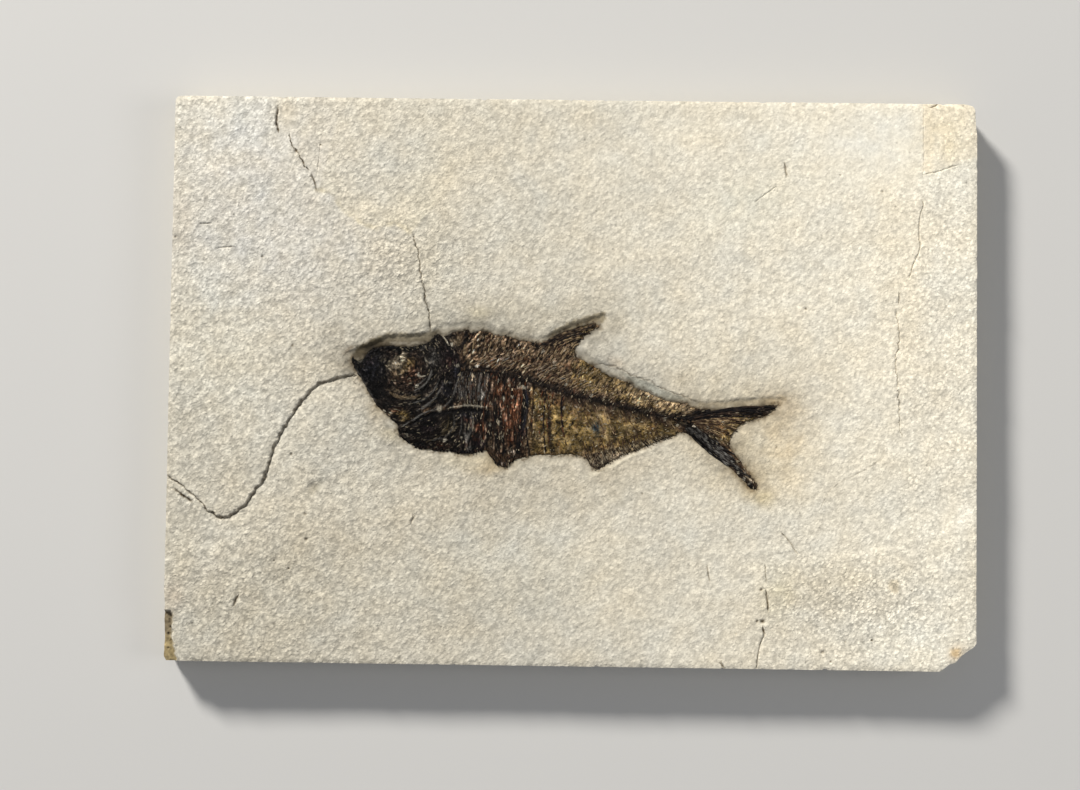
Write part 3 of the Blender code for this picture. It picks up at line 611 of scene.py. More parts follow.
# tints of the stone, mostly stains, with painted shade in the dent under the long crack and a painted
# highlight on the swelling beside it: place, reach and angle, red, green and blue shares, strength
stainsAndPaintedLight = [
    # place, reach, angle, colour share taken of red, green and blue, strength
    ((62, -8, 30, 16, -12), (1.0, 0.93, 0.8), 0.45),
    ((74, -30, 22, 16, -40), (1.0, 0.92, 0.77), 0.55),
    ((55, -32, 20, 12, -35), (1.0, 0.94, 0.82), 0.45),
    ((74, -44, 4.5, 3.5, 0), (0.93, 0.88, 0.68), 0.6),
    ((-35, -31, 18, 5, 0), (0.97, 0.91, 0.76), 0.6),
    ((16.5, 7.5, 4, 2.5, -25), (1.0, 0.88, 0.78), 0.5),
    ((-20, 24, 60, 8, 2), (0.93, 0.92, 0.87), 0.35),
    ((-118, 66, 62, 52, 0), (1.03, 1.055, 1.14), 0.8),
    ((-122, -86, 44, 32, 0), (0.95, 0.935, 0.9), 0.8),
    ((-12, -44, 60, 14, 8), (0.96, 0.93, 0.88), 0.7),
    ((-56, 58, 12, 34, 0), (1.02, 1.01, 0.97), 0.5),
    ((145, 97, 12, 15, 0), (1.0, 0.95, 0.84), 0.7),
    ((-112, 103, 5, 8, 0), (1.0, 0.94, 0.84), 0.6),
    ((-152, 60, 6, 16, 0), (1.0, 0.93, 0.84), 0.55),
    ((-152, -84, 5, 7, 0), (1.0, 0.91, 0.86), 0.55),
    ((-150, -66, 9, 16, 0), (0.98, 0.94, 0.86), 0.4),
    ((148, -102, 5, 3.5, 38), (0.98, 0.84, 0.7), 0.7),
    ((97, -77, 26, 12, 0), (0.97, 0.92, 0.82), 0.55),
    ((80, -8, 7, 6, 0), (1.0, 0.89, 0.74), 0.6),
    ((70, -40, 9, 6, -30), (1.0, 0.9, 0.72), 0.6),
    ((-33, -34, 9, 4, 5), (1.0, 0.9, 0.75), 0.6),
    ((-36, 26, 6, 3, 0), (0.98, 0.93, 0.78), 0.5),
    ((-152.5, -91.3, 1.0, 0.9, 0), (0.45, 0.38, 0.3), 0.9),
    ((80, -80, 8, 12, 0), (0.93, 0.92, 0.82), 0.5),
    ((-136.5, 93.5, 6, 1.8, 12), (0.8, 0.8, 0.8), 0.6),
    # painted shade in the dent under the long crack
    ((-98.6, -42.4, 4.2, 2.3, 45), (0.62, 0.6, 0.55), 0.85),
    ((-30, -75, 60, 22, 5), (0.96, 0.96, 0.94), 0.5),
    ((152, -49.5, 4.5, 5, 0), (1.16, 1.18, 1.22), 1.0),
    # painted highlight on the swelling beside the dent
    ((-92, -51, 5, 3, 25), (1.07, 1.07, 1.08), 0.8),
    ((66, 70, 26, 14, 20), (0.97, 1.0, 1.01), 0.6),
    ((138, 20, 12, 60, 0), (0.985, 0.99, 1.0), 0.7),
    ((-75, -13, 6.5, 5, -45), (1.0, 0.92, 0.8), 0.6),
    ((-69, -22, 6, 3.5, -20), (1.0, 0.93, 0.77), 0.6),
    ((-82, -2, 4, 3.5, -60), (1.0, 0.93, 0.86), 0.4),
    ((-134, 97, 26, 18, 0), (1.13, 1.15, 1.19), 0.85),
    ((-136, 14, 24, 34, 0), (1.06, 1.09, 1.12), 0.8),
    ((-136, -68, 24, 16, 0), (1.09, 1.11, 1.15), 0.85),
    ((130, -98, 22, 13, 0), (1.05, 1.08, 1.12), 0.85),
    ((95, -80, 18, 10, 0), (0.94, 0.94, 0.95), 0.7),
    ((112, 95, 22, 14, 0), (1.0, 1.02, 1.06), 0.8),
    ((70, 8, 14, 9, 0), (0.93, 0.95, 0.98), 0.8),
    ((96, -5, 14, 12, 0), (0.95, 0.945, 0.94), 0.8),
    ((83, -22, 10, 17, -10), (0.97, 0.91, 0.82), 0.75),
]
# above this line the stone is creamier
creamEdge = [
    (-100, 73), (-94.4, 71.6), (-88.7, 64.1), (-81.7, 59.4), (-76, 58.2), (-69, 60.3), (-64.7, 57.5),
    (-62.6, 55.7),
]
# areas with an edge of their own: red, green and blue shares, strength, softness, outline
stoneZones = [
    # tinted corner at the upper right
    ((1.0, 0.965, 0.92), 0.6, 0.8, [(134.7, 112), (134.7, 82.0), (139, 82.3), (145, 84.8), (150, 87),
     (158, 89), (158, 112)]),
    ((1.0, 0.96, 0.89), 0.5, 1.2, [(134.7, 112), (134.7, 82.0), (138.4, 82.0), (138.6, 112)]),
    # shade under the rim above the head, and round the snout
    ((0.38, 0.34, 0.26), 0.85, 0.8, [(-84.2, 9.6), (-83.4, 12.4), (-80, 13.8), (-76.4, 15.8),
     (-72.4, 17.6), (-68, 17.9), (-60, 17.8), (-54.4, 18.6), (-51.8, 19.2), (-53.4, 15.9), (-56, 14.7),
     (-59, 14.0), (-65.8, 14.1), (-70.0, 14.0), (-71.6, 12.9), (-73.5, 12.2), (-76, 11.0), (-78.4, 9.4),
     (-80.4, 7.9), (-82.4, 7.6)]),
    ((0.36, 0.32, 0.23), 0.85, 0.8, [(-84.4, 9.4), (-83, 12.2), (-80, 13.7), (-76, 15.4), (-73, 15.6),
     (-73, 13.0), (-76, 12.3), (-78.5, 11.0), (-80.2, 9.2), (-82, 7.4)]),
    # painted highlight: a thin bright line on the lit ledge right above the head
    ((1.22, 1.26, 1.36), 0.8, 0.3, [(-71, 13.0), (-70, 14.2), (-62, 14.0), (-58, 14.5), (-55.9, 14.9),
     (-55.8, 13.8), (-62, 13.0)]),
    # painted shade in a thin line round the snout
    ((0.8, 0.73, 0.66), 0.8, 0.6, [(-88.2, 9.4), (-86.6, 12.0), (-84.2, 13.0), (-84.6, 11.8),
     (-86, 10.8), (-87.2, 8.8)]),
    # painted shade in the band above the dorsal fin
    ((0.6, 0.55, 0.45), 0.9, 0.6, [(-10, 17.0), (-6.6, 20.2), (-0.7, 23.2), (6.3, 25.4), (12.4, 27.0),
     (12.8, 24.2), (11.4, 22.6), (8.6, 23.2), (3, 22.0), (-3, 20.0), (-8.4, 17.0)]),
    # pale ledge along the rear of the back
    ((0.76, 0.82, 0.84), 0.75, 0.9, [(19, 3.4), (23.6, 1.8), (29.9, 0.1), (33.3, -2.2), (37.5, -3.8),
     (41, -5.2), (44, -6.6), (37.5, -7.0), (30.5, -5.2), (25, -2.2)]),
    # painted shade in a soft band above the upper tail lobe
    ((0.8, 0.75, 0.66), 0.75, 0.9, [(49, -7.6), (56, -7.0), (66, -6.4), (76, -5.4), (82, -4.8),
     (82, -6.4), (76, -7.4), (66, -8.4), (56, -9.0), (49, -9.0)]),
    # painted highlight in a bright strip under the anal fin
    ((1.2, 1.22, 1.22), 0.9, 0.35, [(3.6, -37.6), (7.6, -36.4), (12.2, -34.8), (17, -32.4), (22, -29.6),
     (27, -27.4), (34, -25.0), (27, -26.6), (22, -28.6), (17, -31.2), (12, -33.8), (7.4, -35.4)]),
    ((0.9, 0.84, 0.74), 0.8, 0.5, [(121.6, -76), (123, -74.6), (125.4, -74.6), (126.2, -76.4),
     (126, -78.4), (124.6, -79.6), (122.4, -79)]),
    ((0.8, 0.7, 0.52), 0.8, 0.5, [(145.8, -100.6), (149.2, -100.2), (149.4, -102.6), (147.4, -103.8),
     (145.6, -103)]),
]
# pale lines, the first two along the low ridges where thin beds end: route, width, strength
whiteLines = [
    ([(60, -66.2), (66, -65.5), (72, -65), (80, -64.2), (86, -63.2)], 0.6, 0.3),
    ([(85, -70), (92, -69), (98, -68), (107, -67.5), (115, -65.5), (120, -64.5), (125, -63),
     (130, -60.5)], 0.7, 0.3),
    ([(118, -54.3), (130, -54), (142, -53), (153, -51.5)], 0.9, 0.14),
    ([(140, -58), (147, -55), (153, -51)], 1.4, 0.16),
    ([(56, -96), (60, -104)], 1.2, 0.08),
    ([(56, -72), (64, -70.5), (73, -69.5)], 0.8, 0.1),
]
# where the hollow's wall above the fish gets painted shadow from its rim, partly stain
shadedSpots = [((-66, 13, 22, 7.5, 4), 1.0), ((2, 22, 15, 5, 25), 1.0), ((64, -7, 22, 4, 5), 0.35)]
# where the darkening round the fish reaches less or more
haloSpots = [((-88, 6, 8, 10, 0), 0.3), ((-66, 18, 16, 6, 4), -0.34), ((2, 24, 14, 5, 25), -0.55)]


def stoneTone(x, y, dark, sunk, flaked):
    # colour of the stone as a share of its plain colour
    u, v = x / halfX, y / halfY
    level = 1.0 + 0.055 * u + 0.045 * v - 0.03 * u * v - 0.045 * (1 - u * u) * (0.7 + 0.3 * v)
    level = level * slab["whiteness"] * (1 + 0.25 * smooth(-0.35, 1.0, u))
    level = level * (1 + 0.014 * lumps(x, y, 26.0, 51, 2) + 0.012 * lumps(x, y, 8.0, 52, 2))
    warm = 0.008 * lumps(x, y, 36.0, 55, 2) + 0.006 * lumps(x, y, 9.0, 56, 2)
    tone = np.stack([level * (1 + warm), level, level * (1 - 1.6 * warm)], 1)
    cloudy = np.clip(1.0 + 0.16 * lumps(x, y, 7.0, 58, 3), 0.0, 1.5)
    # stains, with painted shade and a painted highlight at the dent under the long crack
    for spot, shares, strength in stainsAndPaintedLight:
        tone = tinted(tone, blob(x, y, spot) * strength * cloudy, shares)

    # darkening that fades away from the fish, stronger above its backbone, with a dark line right beside it:
    # that line is painted contact shade
    beyond = np.clip(-insideDistance(x, y, fishOutline), 0.0, 99.0)
    above = smooth(-4.0, 3.0, y - spineAt(x))
    nearness = 0.47 + 0.48 * above + 0.5 * blob(x, y, (64, -28, 20, 17, 0)) * (1 - above)
    nearness = nearness + blobs(x, y, haloSpots)
    uneven = np.clip(1 + 0.2 * lumps(x, y, 5.0, 72, 2), 0.4, 1.5)
    halo = 0.52 * np.clip(nearness, 0.0, 1.2) * np.exp(-beyond / 7.0) * uneven
    tone = tone * (1 - halo[:, None] * np.array([0.98, 1.0, 1.03]))
    fringe = smooth(0.0, 0.9, 0.35 + 0.75 * lumps(x, y, 1.25, 67, 2) - beyond / 0.75) * (beyond < 3.0)
    tone = tinted(tone, 0.62 * fringe, (0.30, 0.24, 0.17))
    # painted contact shade right beside the fish
    soot = 0.42 * np.exp(-beyond / 0.9) * np.clip(1 + 0.3 * lumps(x, y, 3.0, 64, 2), 0.3, 1.5)
    # painted shadow under the rim of the hollow above the fish, partly stain, added to the dark line
    shaded = np.clip(blobs(x, y, shadedSpots), 0.0, 1.0) * sunk * above
    soot = soot + 0.38 * shaded * np.exp(-np.clip(beyond - 1.5, 0.0, 99.0) / 2.2)
    tone = tinted(tone, np.clip(soot, 0.0, 0.75), (0.30, 0.22, 0.10))

    for shares, strength, soft, outline in stoneZones:
        edge = insideDistance(x, y, outline) + 0.3 * soft * lumps(x, y, 1.6, 66, 2)
        tone = tinted(tone, strength * smooth(-soft, soft, edge), shares)
    away, side, share = nearPath(x, y, creamEdge)
    cream = smooth(-0.5, 0.5, side * -away) * np.exp(-away / 22.0)
    cream = cream * smooth(0.0, 0.04, share) * smooth(1.0, 0.96, share)
    line = np.exp(-(away / 0.8) ** 2) * np.clip(0.6 + 0.4 * lumps(x, y, 3.0, 68), 0.0, 1.0)
    tone = tinted(tinted(tone, cream, (1.045, 1.02, 0.955)), line, (1.06, 1.03, 0.93))
    broken = np.clip(0.6 + 0.25 * lumps(x, y, 4.0, 60), 0, 1)
    for route, width, strength in whiteLines:
        away, _, share = nearPath(x, y, route)
        line = np.exp(-(away / width) ** 2) * np.sin(np.pi * share) * broken
        tone = tone * (1 + (strength * line)[:, None])

    # where the corner flaked off it is brown above and ochre below
    ochre = smooth(-97.0, -103.0, y)[:, None]
    crust = np.array([0.34, 0.29, 0.21]) * (1 - ochre) + np.array([0.58, 0.49, 0.30]) * ochre
    tone = tinted(tone, flaked, crust * (1 + 0.26 * lumps(x, y, 1.3, 69, 2))[:, None])
    return np.clip(tone * (1 - dark[:, None] * np.array([0.84, 0.88, 0.93])), 0.01, 1.35)


def facePoints(ring):
    # close together along cracks and the hollow's edge, wide under the fish
    parts, crowded = [], []
    for route, width in [(stepCrack, 1.0)] + [crack[:2] for crack in cracks]:
        half = 0.5 * width + 0.1
        offsets = [-half - 0.45, -half, -0.4 * half, 0.0, 0.4 * half, half, half + 0.45]
        parts.append(rowsAlong(route, offsets, 0.5))
        crowded.append((route, half + 0.85))
    turns = np.linspace(0, 2 * np.pi, 9)[:-1]
    circle = np.stack([np.cos(turns), np.sin(turns)], 1)
    for px, py, radius, _, _ in pits:
        parts.append(np.concatenate([[(0.0, 0.0)], 0.45 * radius * circle, radius * circle]) + (px, py))

    outer, inner = -0.9, slab["basinSlope"] + 1.4
    fine, plain = scatter(slab["basinStep"], 2), scatter(slab["pointStep"], 1)
    fromBasin = insideDistance(*fine.T, basinEdge)
    fine = fine[(fromBasin > outer) & (fromBasin < inner)]
    fromBasin = insideDistance(*plain.T, basinEdge)
    plain = plain[(fromBasin <= outer) | (fromBasin >= inner)]
    covered = insideDistance(*plain.T, fishOutline) > 2.0
    plain = plain[~covered | (np.arange(len(plain)) % 5 == 0)]
    loose = np.concatenate([plain, fine])
    for route, reach in crowded:
        low, high = np.min(route, axis=0) - reach, np.max(route, axis=0) + reach
        near = np.all((loose > low) & (loose < high), axis=1)
        away = np.full(len(loose), 9.0)
        away[near] = nearPath(loose[near, 0], loose[near, 1], route)[0]
        loose = loose[away > reach]
    points = np.concatenate(parts + [loose])
    return points[insideDistance(*points.T, asOutline(ring, 4)) > 0.45]


def makeSlab(material):
    # the face first, then a ring of points for each level down the sides, then the underside
    ring = slabPlan()
    count = len(ring)
    flat, faces = triangulate(ring, facePoints(ring))
    x, y = flat.T
    z, dark, sunk, coarse, flaked, rough = faceRelief(x, y)
    rim = np.clip(insideDistance(x, y, asOutline(ring, 3)), 0.0, 9.0)
    worn = slab["edgeWear"] * (1 - smooth(0.0, 1.3, rim)) * (0.6 + 0.2 * lumps(x, y, 6.0, 44, 2))
    z = z + faceZ - worn
    points = [np.stack([x, y, z], 1)]
    tones = [stoneTone(x, y, dark, sunk, flaked)]

    rx, ry = ring.T
    ways, rimTop = inward(ring), z[:count]
    above, total = list(range(count)), len(flat)
    for step, level in enumerate(slab["levels"] + [0.0]):
        back = ledge(level) + 0.04 * lumps(rx + 3 * level, ry, 1.8, 71 + step, 2)
        back = np.clip(back + 0.03 * lumps(rx, ry + level, 11.0, 70), 0.0, 1.4)
        if level == 0.0:
            back = back + 0.25
        place = ring + ways * back[:, None]
        points.append(np.column_stack([place, np.minimum(level / faceZ * rimTop, rimTop - 0.25)]))
        patchy = 1 + 0.016 * lumps(rx, ry + 9 * level, 8.0, 81, 2)
        tones.append(np.array(slab["sideTone"]) * patchy[:, None])
        below = [total + i for i in range(count)]
        faces += [[above[i], below[i], below[(i + 1) % count], above[(i + 1) % count]] for i in range(count)]
        above = below
        total += count

    loose = scatter(slab["backStep"], 3, 0.3)
    flatBack, backFaces = triangulate(place, loose[insideDistance(*loose.T, asOutline(place, 4)) > 1.2])
    bx, by = flatBack[count:].T
    hollow = slab["backLumps"] * np.clip(0.4 * lumps(bx, by, 22.0, 91, 3) + 0.15, 0.0, 1.0)
    points.append(np.stack([bx, by, hollow], 1))
    tones.append(np.array(slab["backTone"]) * (1 + 0.02 * lumps(bx, by, 30.0, 83, 3))[:, None])
    rename = above + [total + i for i in range(len(bx))]
    faces += [[rename[i] for i in reversed(face)] for face in backFaces]
    piece = addMesh("limestone", np.concatenate(points), faces, material, 50)
    plain = np.ones(total + len(bx) - len(flat))
    paint(piece, "tone", np.concatenate(tones))
    paint(piece, "coarse", np.concatenate([coarse, plain]))
    paint(piece, "rough", np.concatenate([rough, plain]))
    return piece


def painted(tree, name, output):
    return addNode(tree, "ShaderNodeAttribute", {"attribute_name": name}).outputs[output]


def weighed(tree, first, firstShare, second, secondShare):
    # a share of one value and a share of another
    second = maths(tree, "MULTIPLY", second, secondShare)
    return maths(tree, "ADD", maths(tree, "MULTIPLY", first, firstShare), second)


def limestoneFinish():
    # round beads in coarse stone and tooled strokes elsewhere, with fine grit and a few dark dots
    finish, tree, shader = newFinish("limestone")
    place = addNode(tree, "ShaderNodeTexCoord").outputs["Object"]
    tone = painted(tree, "tone", "Color")
    coarse, rough = painted(tree, "coarse", "Fac"), painted(tree, "rough", "Fac")
    drift = addNode(tree, "ShaderNodeTexNoise", None, Vector=place, Scale=700.0, Detail=1.0).outputs["Color"]
    moved = vectorMaths(tree, "ADD", place, _1=vectorMaths(tree, "SCALE", drift, Scale=0.0016))
    cells = addNode(tree, "ShaderNodeTexVoronoi", {"feature": "F1"}, Vector=moved, Scale=640.0)
    beads = spread(tree, cells.outputs["Distance"], 0.10, 0.66, 0.85, 0.0)
    turned = addNode(tree, "ShaderNodeMapping", {"vector_type": "TEXTURE"}, Vector=place,
                     Rotation=(0, 0, math.radians(45.0)), Scale=(1.25, 1.0, 1.0)).outputs[0]
    strokes = spread(tree, noiseAt(tree, turned, 640.0, 2.0, 0.6), 0.27, 0.73)
    tooled, beaded = weighed(tree, beads, 0.45, strokes, 0.55), weighed(tree, beads, 0.60, strokes, 0.42)
    relief = addNode(tree, "ShaderNodeMix", {"data_type": "FLOAT"}, _0=coarse, _2=tooled, _3=beaded)
    relief = relief.outputs[0]

    grit = noiseAt(tree, place, 2600.0, 1.0, 0.5)
    speckle = spread(tree, noiseAt(tree, place, 780.0, 2.0, 0.65), 0.27, 0.73, -0.5, 0.5)
    dots = addNode(tree, "ShaderNodeTexVoronoi", {"feature": "F1"}, Vector=place, Scale=330.0).outputs
    fewDots = spread(tree, dots["Color"], 0.45, 0.75)
    dotted = maths(tree, "MULTIPLY", spread(tree, dots["Distance"], 0.07, 0.20, 0.24, 0.0), fewDots)
    depth = maths(tree, "MULTIPLY", rough, 0.60)
    depth = maths(tree, "MULTIPLY", maths(tree, "SUBTRACT", relief, 0.52), depth)
    freckled = maths(tree, "MULTIPLY", speckle, spread(tree, coarse, 0.0, 1.0, 0.17, 0.33))
    shade = maths(tree, "ADD", maths(tree, "ADD", depth, 1.0), freckled)
    fine = spread(tree, grit, 0.2, 0.8, 0.95, 1.05)
    shade = maths(tree, "MULTIPLY", maths(tree, "SUBTRACT", shade, dotted), fine)
    plain = multiplied(tree, tone, (*linear(*slab["stone"]), 1))
    height = maths(tree, "ADD", relief, maths(tree, "MULTIPLY", grit, 0.12))
    height = maths(tree, "MULTIPLY", height, rough)
    bump = addNode(tree, "ShaderNodeBump", None, Height=height, Distance=0.00025, Strength=1.0)
    plug(tree, shader, "Base_Color", multiplied(tree, plain, shade))
    plug(tree, shader, "Roughness", spread(tree, grit, 0.3, 0.7, 0.74, 0.92))
    plug(tree, shader, "Normal", bump.outputs[0])
    plug(tree, shader, "Specular_IOR_Level", 0.35)
    return finish


stone = makeSlab(limestoneFinish())
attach(stone, "root")
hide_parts("limestone_slab")
print("limestone", len(stone.data.polygons), "faces")


fish = {
    "pointStep": 0.285, "borderStep": 0.4, "grow": 0.3, "sunkEdge": 13.35, "base": 12.95, "highest": 15.77,
    "edgeLift": 0.06, "edgeRise": 0.30, "bodyRise": 0.28, "bodyReach": 10.0, "headRise": 0.14,
    "grainHeight": 0.06, "speckHeight": 0.035, "fleckHeight": 0.10, "blackDepth": 0.06, "mottle": 0.80,
}
pigment = {
    "black": (11, 10, 11), "soot": (25, 21, 19), "umber": (48, 36, 28), "brown": (70, 54, 39),
    "tan": (128, 110, 84), "gold": (104, 86, 48), "rust": (84, 47, 26), "slate": (30, 32, 40),
    "grey": (88, 86, 82), "plum": (38, 27, 31), "pale": (198, 189, 168), "olive": (66, 57, 38),
    "blue": (42, 52, 56), "stone": (154, 142, 119),
}
# wide areas of colour: pigment, strength, softness of the edge and outline
zones = [
    ("gold", 0.85, 3.5, [(-16, -4), (-4, -10), (10, -12), (25, -14), (40, -16), (41, -21), (28, -26),
     (10, -28), (0, -29), (-16, -29)]),
    ("tan", 0.15, 2.0, [(-39, 20), (-30, 18), (-10, 15), (2, 14), (3, 8), (-5, 2), (-20, 5), (-39, 8)]),
    ("gold", 0.75, 2.0, [(3, 9), (20, 1), (35, -6), (46, -9), (45, -13), (25, -9), (5, -4), (-2, 1)]),
    ("tan", 0.18, 1.5, [(8, 4), (24, -2), (45, -8), (44, -12), (25, -7), (8, -2)]),
    ("tan", 0.85, 1.4, [(22, -1), (34, -5), (46, -8.4), (46, -12.2), (36, -10.4), (24, -7)]),
    ("umber", 0.6, 2.0, [(-44, 3), (-30, 3), (-16, -1), (-15, -29), (-34, -30), (-31, -10), (-45, -10)]),
    ("soot", 0.55, 1.5, [(-44, 4), (-30, 3), (-30, -10), (-46, -10)]),
    ("soot", 0.95, 1.2, [(-88, 12), (-60, 15), (-52, 20), (-46, 20), (-43, 12), (-41.5, 3), (-43, -5),
     (-47, -10), (-56, -12.5), (-65, -18), (-73, -16), (-82, -3)]),
    ("soot", 0.95, 1.0, [(-69, -19), (-60, -15.2), (-56, -12.8), (-51, -11.5), (-46, -10.8),
     (-40, -10.3), (-31.5, -10.5), (-31, -20), (-33, -28), (-40, -31), (-53, -30), (-66, -26)]),
    ("black", 0.75, 0.9, [(-87, 8), (-80, 10), (-74, 12.2), (-71.6, 8), (-70.4, 3), (-70, -2), (-71, -7),
     (-76, -11), (-81, -3)]),
    ("rust", 0.42, 1.2, [(-26.8, -1.0), (-19.8, -1.6), (-19.6, -14), (-21, -24), (-25.6, -25),
     (-26.8, -12)]),
    ("umber", 0.8, 1.5, [(-71, 9.5), (-62, 10.5), (-56.5, 7), (-55.5, 1), (-59, -4), (-66, -6.5),
     (-71, -4), (-70, 3)]),
    ("stone", 0.5, 0.7, [(-72.6, 7.8), (-70.6, 4.4), (-68.4, 2.8), (-66.6, 4.2), (-65.2, 6.4),
     (-63.2, 8.2), (-64.2, 9.6), (-66.8, 8.9), (-68.6, 7.2), (-70.6, 8.6)]),
    ("soot", 0.8, 1.5, [(42, -13), (50, -10), (82, -7), (80, -10), (62, -15.5), (58, -14), (50, -15.5),
     (58, -24), (64, -32), (70, -39), (71, -42), (60, -33), (50, -25), (43, -19)]),
    ("gold", 0.85, 1.2, [(51, -16), (60, -13.6), (70, -12.8), (66, -16), (62, -20), (61, -25),
     (56, -20.5)]),
    ("soot", 0.4, 1.0, [(-14, 13), (-8, 16), (0, 20.4), (8, 23.2), (9.5, 21.5), (2, 17.8), (-3, 14.5),
     (-8, 13)]),
    ("gold", 0.8, 1.0, [(-1, 17), (3, 20), (9, 21.6), (11.5, 20), (5, 17), (2.5, 13), (0, 12),
     (-3, 13)]),
    ("stone", 0.27, 1.0, [(4, -28), (10, -27.5), (20, -24.5), (36, -20.8), (38, -22.5), (20, -29.5),
     (10, -36), (5, -31)]),
    ("soot", 0.45, 1.0, [(-33, -27), (-27, -28), (-20, -29), (-21, -32), (-25, -35), (-30, -33)]),
]
